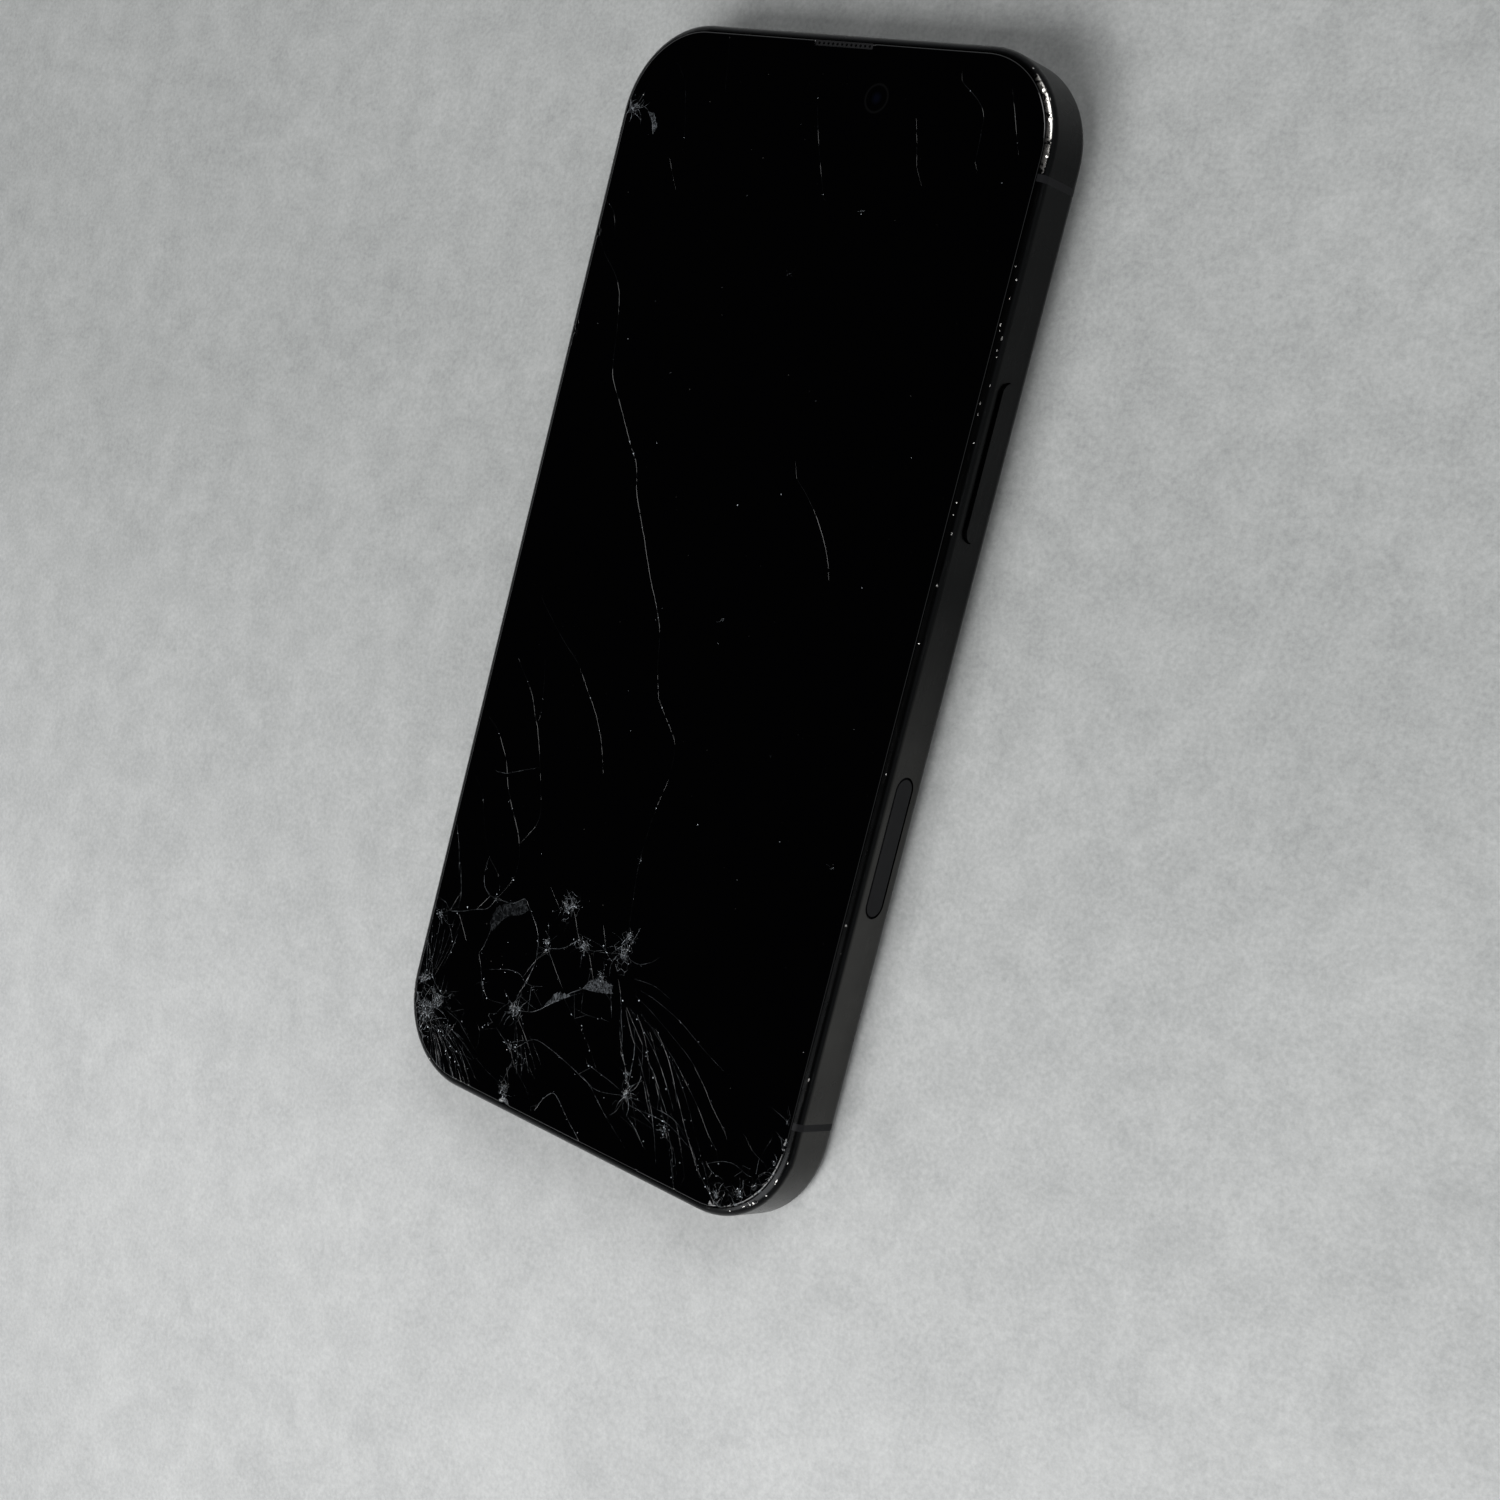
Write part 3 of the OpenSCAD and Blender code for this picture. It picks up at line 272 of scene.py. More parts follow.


# Cracks in the cover glass. Each route is a drawn line in millimetres from the body's middle.

glassSize = {"halfW": 34.7, "halfH": 72.7, "corner": 11.4, "top": 10.2, "back": 9.5, "rounding": 0.25,
             "notch": (-4.2, 5.4, 71.9)}
crackStyles = {  # half width, depth, brightness, sideways wander
    "long": (0.030, 0.030, 0.010, 0.10),
    "strong": (0.034, 0.040, 0.12, 0.08),
    "fine": (0.027, 0.030, 0.11, 0.06),
    "arc": (0.026, 0.030, 0.07, 0.03),
    "hair": (0.022, 0.025, 0.040, 0.05),
    "ghost": (0.022, 0.015, 0.009, 0.05),
    "ray": (0.021, 0.035, 0.24, 0.05),
    "wall": (0.022, 0.035, 0.24, 0.0),
}
routes = {
    "long": [
        [(-34.7, 44.8), (-32.5, 42), (-30, 40), (-28, 37.5), (-27, 34), (-26, 29), (-25, 25.5), (-22, 21.5),
         (-19, 17.5), (-17, 15), (-15.5, 11), (-12.5, 6), (-10, 1.5), (-8, -1.5), (-6, -5), (-5, -8.5),
         (-3.5, -13), (-2.5, -14.5), (0, -17), (1.5, -19), (2, -23)],
        [(10.5, 18), (13, 16), (15, 14), (17, 11.5), (18.5, 9), (19.5, 6.8)],
        [(-28.5, -5.5), (-25.5, -8), (-22, -10.5), (-19, -12.5), (-16.5, -15), (-14, -17.5), (-12.5, -19.5),
         (-11, -22), (-9.5, -25.5)],
        [(-30, -14.5), (-28, -16.5), (-26, -18.5), (-24.5, -21), (-23.2, -23), (-22, -25.5), (-21, -28),
         (-20, -30.5), (-19, -33.5), (-19.3, -35.5), (-21, -38)],
        [(-33, -23.5), (-31, -24.5), (-29.5, -26), (-28, -28), (-26.8, -30), (-26, -32), (-24.7, -34),
         (-23, -36), (-21.5, -38.5), (-20.8, -41), (-21.2, -44), (-23.3, -47)],
        [(-35, -27), (-33.5, -31), (-31, -33.5), (-29.5, -36.5), (-28, -39.5), (-26.5, -41.8),
         (-24.5, -43.3), (-23.3, -44.8), (-23.3, -47)],
    ],
    "strong": [
        [(-23.3, -47), (-24.5, -48.6), (-27, -49.5), (-29.5, -50.5), (-31.5, -51), (-32.5, -50.2),
         (-35, -49.8)],
        [(-22.5, -46.8), (-20, -46.5), (-18, -45.3), (-17, -46), (-15, -48), (-13.8, -49.8), (-13.3, -52.5),
         (-13.8, -55), (-14, -56)],
        [(-15.3, -60), (-12.5, -59.5), (-10.3, -58.4), (-6.2, -55), (-3.7, -53.4), (-2.7, -52),
         (0.8, -51.7)],
        [(-14.8, -64.8), (-13, -63.8), (-11, -63), (-9.5, -62.5), (-6, -63), (-3, -63.7), (-0.5, -64.5),
         (1.5, -65.2), (4, -67), (6.5, -68.5), (9, -70), (11.5, -71.5), (13.5, -73)],
        [(0.8, -51.7), (2.3, -55.5)],
        [(2.8, -52), (4.8, -57), (5.2, -59), (6.5, -60.5), (7.2, -62), (8, -63), (7.5, -64.5)],
        [(-13.3, -52.5), (-11.5, -50.5), (-9, -49.5), (-6.5, -47.5)],
        [(-29, -62.5), (-31.5, -61), (-32.5, -59), (-33.5, -57.5), (-35, -55)],
        [(-34, 62), (-32, 62.2), (-30.5, 61.5), (-29.4, 60.2), (-28.7, 58.5)],
        [(-7, -71.5), (-6, -69.5), (-4.5, -68.2), (-3, -69), (-1, -70.5), (1.5, -72.2), (2.5, -73)],
    ],
    "fine": [
        [(-29, -30.3), (-26.8, -30), (-24, -28.8), (-21.8, -28)],
        [(-26.5, -41.8), (-26.6, -44), (-26, -45.8), (-24.5, -46.8), (-23.3, -47)],
        [(-22.8, -51), (-23.4, -53.5), (-24, -54.8)],
        [(-21.8, -56.5), (-20, -56), (-17.5, -55.3), (-15.5, -55.3), (-14, -56), (-12.5, -55.9),
         (-11, -55.5)],
        [(-14, -56), (-14.8, -57.5), (-15.3, -59.8)],
        [(-12, -50), (-9, -53), (-7.5, -54.5)],
        [(-18, -61.6), (-19.5, -62.3), (-17, -63.7), (-14.8, -64.8), (-14, -65.5)],
        [(-24, -55), (-22.8, -57), (-22, -59)],
        [(-35, -38), (-33, -41.5), (-31.5, -45.5)],
        [(-31.5, -44.5), (-30.2, -48), (-30, -50)],
        [(-35, -51), (-31, -53), (-29.8, -54.5)],
        [(-29.5, -51), (-27, -54)],
        [(-13.8, -42.5), (-11, -45)],
        [(-8.5, -44.5), (-6.5, -47.5), (-4.5, -48.8)],
        [(-4.5, -47), (-2, -47.3), (-0.5, -48.3)],
        [(-3, -44.5), (-1.5, -47.5)],
        [(1.5, -47), (-1.5, -47.8), (-5, -48.5)],
        [(1.5, -47), (4.5, -47.5), (6.8, -46.5)],
        [(6.8, -57), (9.5, -58.5), (11.5, -59.8), (13, -61.5), (15.7, -64.5)],
        [(10.2, -61.5), (11.5, -63.5), (12.6, -65)],
        [(15.7, -64), (15.7, -65.3), (17.5, -68), (18.5, -70.5), (20, -73)],
        [(7.8, -64.2), (5.5, -63.5), (3, -63), (0, -62.5)],
        [(7.8, -64.2), (10, -64), (13, -64), (16, -64.2), (18.5, -65)],
        [(7.8, -64.2), (7, -66.5), (6, -67.5)],
        [(7.8, -64.2), (8.6, -62.6), (10, -61.4)],
        [(7.8, -64.2), (3, -65.2), (0, -64.5)],
        [(7.8, -64.2), (8.5, -65), (11, -65.3), (13.5, -66.2)],
        [(7.8, -64.2), (8, -66), (10.5, -67.5), (12.8, -69.3)],
        [(9, -65.2), (15.7, -65.2), (20.2, -66.7)],
        [(23.5, -67.6), (25.6, -66.5), (27.6, -66.1), (29.9, -66.6), (30.8, -66.6)],
        [(29.9, -63.5), (31, -63.9), (32.1, -64.3)],
        [(31.7, -66.6), (32.7, -65.3), (33.7, -65.2), (34.1, -65.9), (33.4, -66.6)],
        [(32.8, -69.2), (31.4, -68.6), (31.4, -67.6), (32.4, -67), (33.3, -67.1)],
        [(32.7, -60), (33.8, -60.6), (34.3, -61.7), (35.4, -62.7)],
        [(33.5, -60.4), (34.7, -60.7), (35.9, -60.9)],
        [(32.4, -61.1), (32, -62.1)],
        [(24.4, -70.1), (25.2, -70.9), (26.1, -71.7)],
        [(26.5, -71.8), (27.3, -70.3), (27.4, -69.2)],
        [(29.2, -70.8), (28.6, -70.1), (27.9, -69.9)],
        [(30.2, -70.4), (30.1, -69.1), (29.7, -67.4)],
        [(23.4, -67.4), (24.7, -68.3), (26.6, -68.5)],
        [(31.3, -57.5), (32.9, -57.9), (34.3, -58.5)],
        [(33.6, -68), (34.3, -66.5), (35.1, -65.3)],
        [(-27.5, -63.8), (-25.5, -64.4)],
        [(-29, -66.6), (-26, -66.4), (-23, -67)],
        [(-29.5, -67.3), (-26.5, -68), (-24, -69)],
        [(-28, -61.8), (-26, -61)],
    ],
    "arc": [
        [(4.5, -49.5), (8, -49.3), (11, -50)],
        [(5, -50.5), (9, -51), (13, -52), (16, -53.2), (18.3, -54.2), (22.5, -55.8)],
        [(5.5, -51.5), (8.5, -52.5), (12, -54), (15, -55.3), (17, -56.3), (19, -57.8), (20.5, -59),
         (22, -60.5), (25, -62.8)],
        [(8.5, -54), (11.5, -55.5), (14.5, -57.3), (17.5, -59.5), (20, -61.5), (22.5, -64), (24.5, -65.5)],
        [(4.8, -53.3), (7, -54.3), (10, -56), (13, -58), (15.5, -60.5), (17.5, -63), (19, -65), (21, -67.3),
         (22.5, -69), (26.5, -72)],
        [(3.6, -54), (4.6, -57.5), (6.8, -61), (9.4, -64.8), (11.5, -68.5)],
        [(4.2, -53.5), (6, -56), (9, -59.5), (12, -63.5), (14, -67), (15.5, -70.5)],
        [(4.4, -53.4), (6.8, -55.5), (10, -58.5), (13, -62), (15.6, -65.8), (17.8, -69.5), (19.5, -72.8)],
        [(5.2, -53.6), (8, -55.2), (11.2, -57.6), (14, -60.5), (16.6, -63.8), (19, -67.5), (20.6, -70.5)],
        [(7, -53.4), (10.5, -55.2), (14, -57.6), (17.4, -60.8), (20, -64), (22.8, -67.6), (25, -70.5)],
    ],
    "ghost": [
        [(-27, 68), (-25, 65.5), (-24, 62.5), (-23, 59.5), (-22.7, 57)],
        [(2, -23), (1, -28), (0.5, -35), (1.7, -46)],
        [(-25, -13.5), (-24, -17), (-23.3, -21)],
        [(-7, -55.5), (-4, -57.7), (-2, -59), (0.5, -61)],
        [(-14, -65.2), (-11, -65.5), (-8.5, -67.5)],
        [(-24.5, 55.5), (-22, 51.5)],
        [(-34.8, 49), (-32.5, 47.5), (-31, 44)],
        [(-2, 67), (0, 61), (3.5, 53)],
        [(20.5, 69), (24.5, 66), (25.3, 63), (25.5, 59.5)],
        [(28.5, 68), (31.5, 61)],
        [(-19, 72), (-17.5, 65)],
        [(15, 64), (17, 58)],
        [(-34.9, 34), (-33.9, 31), (-34.9, 27.5)],
    ],
    "hair": [
        [(-27.8, -64.2), (-25, -64.8), (-23.3, -65.8), (-20.4, -67.6)],
        [(-21.4, -64), (-20.4, -64.8), (-20.1, -66.6)],
        [(-22, -67.9), (-19.5, -68.7), (-17, -69.6), (-13.7, -70.4), (-12.6, -70.5)],
        [(-13.4, -65.1), (-11.3, -65.7), (-8.3, -67.5)],
        [(-14.2, -65), (-12.8, -66.8), (-11.7, -67.8), (-8.8, -69.9), (-7.6, -71.8)],
        [(-5.1, -56.4), (-2, -56.5), (1.9, -56.1)],
        [(-13.8, -67.9), (-13, -69.5), (-12.6, -71.3), (-13.1, -72)],
        [(-26.9, -62), (-24.3, -63), (-24.3, -64.6), (-23.2, -65.4)],
        [(-21.9, -58.8), (-20.3, -60.2), (-16.9, -59.9)],
        [(-27.2, -67.5), (-25.2, -69.1), (-22.2, -68.9), (-20.5, -69.1)],
        [(7.9, -67), (10.4, -67.7), (13, -69.4)],
        [(9.5, -66.4), (14.1, -66.7), (17.4, -67.5), (19.3, -70.7)],
        [(16.2, -64), (20.6, -66.7), (22.9, -69.7)],
        [(22.2, -67.7), (24.5, -68.1), (24.4, -69.1)],
    ],
}
bursts = [  # centre, number of rays, reach, first and last bearing in degrees, radius of the core
    ((-15, -60), 26, 3.4, 0, 360, 0.9),
    ((-9.7, -43.6), 22, 2.6, 0, 360, 1.1),
    ((-12, -49.6), 14, 2.4, 0, 360, 0.6),
    ((-5.5, -48), 14, 2.2, 0, 360, 0.7),
    ((1.6, -47), 24, 4.0, 0, 360, 0.7),
    ((1.9, -44.6), 12, 2.0, 0, 360, 0.6),
    ((-1.4, -51.0), 12, 3.4, 0, 360, 0.5),
    ((7.8, -64.2), 18, 3.4, 0, 360, 0.6),
    ((7.2, -61.6), 8, 2.2, 0, 360, 0.4),
    ((-14.2, -65), 9, 2.0, 0, 360, 0.4),
    ((-23.3, -47), 6, 1.6, 0, 360, 0.25),
    ((-31.6, -65.6), 34, 5.2, -110, 130, 1.5),
    ((-29.6, -63.6), 20, 4.0, -60, 150, 1.0),
    ((-33.6, -61.5), 14, 3.4, -90, 100, 0.7),
    ((-33.2, -52), 7, 3.0, -90, 90, 0.5),
    ((-13.4, -71.2), 14, 2.8, 20, 160, 0.7),
    ((33.8, -63.8), 6, 1.8, 90, 270, 0.2),
    ((29.6, -69.2), 14, 2.6, 60, 230, 0.4),
    ((26.2, -70.8), 12, 2.2, 60, 200, 0.3),
    ((34.2, -58.4), 6, 1.6, 90, 270, 0.3),
    ((-33.2, 61.6), 14, 3.2, -80, 90, 0.7),
    ((4.3, -1.5), 3, 1.0, 230, 320, 0.12),
    ((10, 52), 4, 0.6, 0, 360, 0.10),
    ((1, 43), 4, 0.5, 0, 360, 0.10),
    ((0.5, -35), 5, 1.2, 0, 360, 0.12),
    ((31, -27), 5, 0.7, 0, 360, 0.12),
    ((-22, -58.7), 7, 1.7, 0, 360, 0.25),
    ((15.4, -66.2), 8, 1.8, 0, 360, 0.4),
]
sheaves = [  # start, number of streaks, reach, first and last bearing, turn along a streak in degrees
    ((-31.5, -65.5), 26, 17.0, -62, -4, -14),
    ((-32.8, -63.5), 9, 14.0, 62, 96, 8),
    ((3.5, -51.5), 5, 18.0, -52, -24, -16),
    ((-14.5, -60.5), 6, 11.0, -75, -30, -6),
]
crazed = [  # centre, radius across and along, spacing of the cells, share of the full brightness
    ((31.4, -67.8), (3.0, 2.8), 1.05, 0.35),
    ((28, -70.4), (3.6, 1.5), 0.8, 0.35),
    ((34.0, -64.2), (0.9, 2.2), 0.95, 0.4),
    ((-31.6, -65.8), (2.8, 3.6), 0.8, 0.8),
    ((-9.6, -43.9), (1.9, 2.4), 0.75, 1.0),
    ((1.6, -47.0), (2.0, 3.2), 0.9, 1.0),
    ((-15, -60), (1.8, 1.5), 0.8, 1.0),
    ((-5.8, -48.4), (1.9, 1.1), 0.75, 1.0),
]
flakes = [  # outlines where a thin flake has lifted and looks grey, and how bright each is
    ([(-16.8, -46.6), (-18, -45.3), (-20.3, -46.6), (-22.8, -47.9), (-23.3, -50.5), (-22.6, -51.4),
      (-21.4, -49.6), (-20.1, -48.4), (-18, -47.6)], 0.013),
    ([(-10.1, -58.3), (-8.2, -55.4), (-5.5, -54.9), (-3.6, -53.9), (-6.4, -55.6)], 0.05),
    ([(-3.9, -53.5), (-2.6, -51.8), (-0.8, -51.3), (1.2, -51.5), (1.5, -52.5), (-1.5, -53.2)], 0.045),
    ([(-30.6, 61.4), (-29.3, 61.3), (-28.2, 59.4), (-28.7, 58.4), (-29.4, 60)], 0.05),
]
chips = [  # middle and radius of each shell-shaped chip at the edge
    ((-34.6, -64.5), 1.6), ((-31.8, -69.4), 1.3), ((-12.9, -72.9), 1.5), ((26.4, -72.4), 1.1),
    ((31.2, -70.5), 1.2), ((33.9, -67.2), 1.0), ((35.1, -61.2), 1.0), ((-34.9, 61.8), 1.5),
    ((-35, 44.6), 1.0), ((-34.9, 30.8), 0.6), ((-13.6, -70.6), 0.45), ((31.6, -67.6), 0.42),
]
crushed = [(centre, core) for centre, _, _, _, _, core in bursts]
rng = np.random.default_rng(23)


def outlineGap(x, y, inset=0.0):
    # Signed distance in from the glass's rounded outline: negative is inside
    corner = glassSize["corner"] - inset
    qx = np.abs(x) - (glassSize["halfW"] - inset - corner)
    qy = np.abs(y) - (glassSize["halfH"] - inset - corner)
    outside = np.hypot(np.maximum(qx, 0), np.maximum(qy, 0))
    return outside + np.minimum(np.maximum(qx, qy), 0) - corner


def inNotch(x, y, spare=0.0):
    left, right, low = glassSize["notch"]
    return (x > left - spare) & (x < right + spare) & (y > low - spare)


def smoothRoute(points, step=0.45):
    # Catmull-Rom curve through the points, cut every step
    p = np.asarray(points, float)
    if len(p) == 2:
        p = np.array([p[0], p.mean(0), p[1]])
    ends = np.vstack([2 * p[0] - p[1], p, 2 * p[-1] - p[-2]])
    spans = []
    for i in range(len(p) - 1):
        a, b, c, d = ends[i:i + 4]
        count = max(2, int(np.linalg.norm(c - b) / step))
        t = np.linspace(0, 1, count, endpoint=False)[:, None]
        spans.append((2 * b + (c - a) * t + (2 * a - 5 * b + 4 * c - d) * t ** 2
                      + (3 * b - a - 3 * c + d) * t ** 3) / 2)
    return np.vstack(spans + [p[-1:]])


def sideways(line):
    # Unit vector across a line at each of its points
    way = np.gradient(line, axis=0)
    way /= np.maximum(np.linalg.norm(way, axis=1, keepdims=True), 1e-9)
    return np.stack([-way[:, 1], way[:, 0]], 1)


def wavy(length, gap, low, high):
    # Random values from low to high, a knot every gap, joined along the length
    knots = np.arange(0, length[-1] + 2 * gap, gap)
    return np.interp(length, knots, rng.uniform(low, high, len(knots)))


def crackLine(points, style, shine=1.0, taper=True):
    # One crack: its middle line, wandering sideways, with half width, depth and brightness at each point;
    # the brightness is the break's whiteness, varied along the crack as painted glints
    half, depth, bright, wander = crackStyles[style]
    line = smoothRoute(points) if style != "wall" else np.asarray(points, float)
    length = np.concatenate([[0], np.cumsum(np.linalg.norm(np.diff(line, axis=0), axis=1))])
    share = length / length[-1]
    pin = np.minimum(1, np.minimum(length, length[-1] - length) / 1.5)
    shift = wavy(length, 3.2, -wander, wander) + wavy(length, 0.7, -wander, wander) * 0.35
    line = line + sideways(line) * (shift * pin)[:, None]
    thin = 0.35 + 0.65 * np.sin(np.pi * np.clip(share, 0.04, 0.96)) ** 0.5 if taper else np.ones(len(line))
    wide = half * thin * wavy(length, 0.9, 0.7, 1.25)
    # Painted glints: brightness rises and falls at random along the crack, as if some lengths catch light
    slow, quick = wavy(length, 1.6, 0.3, 1.3), wavy(length, 0.45, 0.1, 1.5) ** 2
    light = bright * shine * slow * quick * (0.4 + 0.6 * thin)
    return {"line": line, "half": wide, "depth": depth * thin, "light": light}


def burstLines(centre, count, reach, first, last, core):
    # Rays that start all over a crushed place at uneven bearings, bend a little and mostly stop short
    bearing = np.radians(rng.uniform(first, last, count))
    far = 0.25 + reach * rng.random(count) ** 2.4
    bend = rng.uniform(-0.8, 0.8, count)
    share = np.array([0.05, 0.4, 0.7, 1.0])
    angle = bearing[:, None] + bend[:, None] * share
    way = waysAt(angle)
    start = np.asarray(centre) + rng.normal(0, 0.55 * core + 0.1, (count, 2))
    lines = start[:, None] + way * (far[:, None] * share)[:, :, None]
    return [crackLine(line, "ray", rng.uniform(0.1, 1.3)) for line in lines]


def sheafLines(start, count, reach, first, last, turn):
    # Streaks that spread from one side of a blow, all curving the same way
    share = np.linspace(0, 1, 6)
    made = []
    for bearing in np.linspace(first, last, count) + rng.uniform(-1.6, 1.6, count):
        begin = rng.uniform(0.04, 0.40)
        end = rng.uniform(0.6, 1.0)
        way = np.radians(bearing + turn * share * rng.uniform(0.6, 1.4))
        far = reach * (begin + (end - begin) * share)
        line = np.asarray(start) + waysAt(way) * far[:, None]
        made.append(crackLine(line, "hair", rng.uniform(0.7, 2.8)))
    return made


def cellWalls(centre, radii, spacing, shine):
    # Walls between cells round jittered seeds: each joins the circumcentres of two triangles
    across, along = np.meshgrid(np.arange(-radii[0], radii[0] + spacing, spacing),
                                np.arange(-radii[1], radii[1] + spacing, spacing))
    seeds = np.stack([across.ravel(), along.ravel()], 1)
    seeds += rng.uniform(-0.48, 0.48, seeds.shape) * spacing
    seeds = seeds[np.hypot(seeds[:, 0] / radii[0], seeds[:, 1] / radii[1]) < 1.15] + np.asarray(centre)
    out = delaunay_2d_cdt([Vector(s) for s in seeds], [], [], 0, 1e-6)
    p = np.array([tuple(v) for v in out[0]])
    tri = np.array(out[2])
    u, v, twice = triangleArms(p, tri)
    uu, vv = (u ** 2).sum(1), (v ** 2).sum(1)
    across = np.stack([v[:, 1] * uu - u[:, 1] * vv, u[:, 0] * vv - v[:, 0] * uu], 1)
    middle = p[tri[:, 0]] + across / (2 * twice)[:, None]
    one, other = neighbours(tri)
    ends = np.stack([middle[one], middle[other]], 1)
    span = np.linalg.norm(ends[:, 0] - ends[:, 1], axis=1)
    away = (ends.mean(1) - np.asarray(centre)) / np.asarray(radii)
    keep = (span > 0.12) & (span < 2.5 * spacing) & (np.hypot(away[:, 0], away[:, 1]) < 1)
    keep &= rng.random(len(keep)) < 0.8
    return [crackLine(pair, "wall", shine * rng.uniform(0.05, 1.3), taper=False) for pair in ends[keep]]


def bridgeLines(lines, count):
    # Short cracks that join one crack to another close beside it
    middles = np.concatenate([line["line"][::2] for line in lines])
    owner = np.concatenate([np.full(len(line["line"][::2]), i) for i, line in enumerate(lines)])
    low = (middles[:, 1] < -45) & (middles[:, 0] < 3)
    middles, owner = middles[low], owner[low]
    made = []
    for start in rng.integers(0, len(middles), count):
        gap = farFrom(middles[start], middles)
        near = np.flatnonzero((gap > 1.2) & (gap < 4.2) & (owner != owner[start]))
        if len(near):
            ends = [middles[start], middles[rng.choice(near)]]
            made.append(crackLine(ends, "hair", rng.uniform(0.6, 2.5)))
    return made


crackLines = []
for style, group in routes.items():
    crackLines += [crackLine(points, style) for points in group]
drawn = list(crackLines)
for values in sheaves:
    crackLines += sheafLines(*values)
crackLines += bridgeLines(drawn, 60)
for values in bursts:
    crackLines += burstLines(*values)
for values in crazed:
    crackLines += cellWalls(*values)


def pitPlaces():
    # Tiny bright pits: most lie along the cracks at the lower end, the rest are spread thinly
    values = {"crowded": 420, "along": 40, "apart": 36, "lowEnd": -40, "aside": 0.22,
              "radius": (0.03, 0.075), "light": (0.15, 0.9)}
    along = np.concatenate([crack["line"][1:-1] for crack in crackLines if len(crack["line"]) > 6])
    low = along[along[:, 1] < values["lowEnd"]]
    high = along[along[:, 1] > values["lowEnd"]]
    count = values["crowded"]
    at = low[rng.integers(0, len(low), count)] + rng.normal(0, values["aside"], (count, 2))
    sparse = high[rng.integers(0, len(high), values["along"])]
    at = np.vstack([at, sparse, rng.uniform((-34, -70), (34, 71), (values["apart"], 2))])
    at = at[outlineGap(at[:, 0], at[:, 1], 0.6) < 0]
    least, more = values["radius"]
    radius = least + more * rng.random(len(at)) ** 2.5
    return at, radius, rng.uniform(*values["light"], len(at))


pits = pitPlaces()
print("cracks drawn:", len(crackLines), "pits:", len(pits[0]))


def crackSegments():
    # Every crack as straight lengths: ends, half widths, depths and brightness
    parts = {"a": [], "b": [], "half": [], "depth": [], "light": []}
    for crack in crackLines:
        parts["a"].append(crack["line"][:-1])
        parts["b"].append(crack["line"][1:])
        for key in ("half", "depth", "light"):
            parts[key].append((crack[key][:-1] + crack[key][1:]) / 2)
    return {key: np.concatenate(value) for key, value in parts.items()}


def crackField(points, segments, tile=5.0):
    # Depth and brightness at each point: each crack's own, the depth falling evenly to its rails
    depth = np.zeros(len(points))
    light = np.zeros(len(points))
    cell = np.floor(points / tile).astype(int)
    low = np.minimum(segments["a"], segments["b"]) - 0.2
    high = np.maximum(segments["a"], segments["b"]) + 0.2
    for key in np.unique(cell, axis=0):
        corner = key * tile
        near = np.all((low < corner + tile) & (high > corner), axis=1)
        if not near.any():
            continue
        inside = np.all(cell == key, axis=1)
        p = points[inside][:, None]
        a, b = segments["a"][near], segments["b"][near]
        along = b - a
        t = np.clip(((p - a) * along).sum(2) / np.maximum((along ** 2).sum(1), 1e-12), 0, 1)
        away = np.linalg.norm(p - a - along * t[:, :, None], axis=2) / segments["half"][near]
        depth[inside] = (segments["depth"][near] * np.clip(1 - away, 0, 1)).max(1)
        light[inside] = (segments["light"][near] * (away < 0.97)).max(1)
    return depth, light


def outlineLoop(inset, step=0.5):
    # Points round the outline at an even step, with the earpiece notch cut into its top edge
    r = glassSize["corner"] - inset
    w, h = glassSize["halfW"] - inset - r, glassSize["halfH"] - inset - r
    left, right, low = glassSize["notch"]
    runs = []
    for cx, cy, start in ((w, h, 0), (-w, h, 90), (-w, -h, 180), (w, -h, 270)):
        turn = np.radians(np.linspace(start, start + 90, int(r * 1.57 / step)))
        runs.append(np.stack([cx + r * np.cos(turn), cy + r * np.sin(turn)], 1))
        if start == 0:
            runs.append(np.array([(right, h + r), (right, low), (left, low), (left, h + r)]))
    loop = np.vstack(runs + [runs[0][:1]])
    spans = [np.linspace(a, b, max(1, int(np.linalg.norm(b - a) / step)), endpoint=False)
             for a, b in zip(loop[:-1], loop[1:])]
    return np.vstack(spans)


def insideOf(polygon, points):
    # Points inside a polygon: an odd number of its sides lies to their right
    a = np.asarray(polygon, float)
    b = np.roll(a, -1, 0)
    x, y = points[:, :1], points[:, 1:]
    crosses = (a[:, 1] > y) != (b[:, 1] > y)
    rise = np.where(np.abs(b[:, 1] - a[:, 1]) < 1e-12, 1e-12, b[:, 1] - a[:, 1])
    return (crosses & (x < (b[:, 0] - a[:, 0]) * (y - a[:, 1]) / rise + a[:, 0])).sum(1) % 2 == 1


def discPoints(centre, reach, count):
    # Even random points in a disc
    away = reach * np.sqrt(rng.random(count))
    return np.asarray(centre) + waysAt(rng.uniform(0, 2 * np.pi, count)) * away[:, None]


def loosePoints():
    # Points that fill the crushed cores, the chips, the flakes and, more thinly, the whole sheet
    clouds = [discPoints(centre, core * 1.25, int(26 * core ** 2) + 4) for centre, core in crushed]
    for centre, radius in chips:
        clouds.append(discPoints(centre, radius * 0.8, int(45 * radius ** 2)))
        clouds.append(ringRound(centre, radius, 1.1, 24))
    clouds += [ringRound(centre, core, 1.4, 20) for centre, core in crushed]
    for outline, _ in flakes:
        low, high = np.min(outline, 0), np.max(outline, 0)
        cloud = rng.uniform(low, high, (320, 2))
        clouds.append(cloud[insideOf(outline, cloud)])
    x, y = np.meshgrid(np.arange(-34, 35, 2.0), np.arange(-72, 73, 2.0))
    even = np.stack([x.ravel(), y.ravel()], 1)
    clouds.append(even + rng.uniform(-0.6, 0.6, even.shape))
    return np.vstack(clouds)


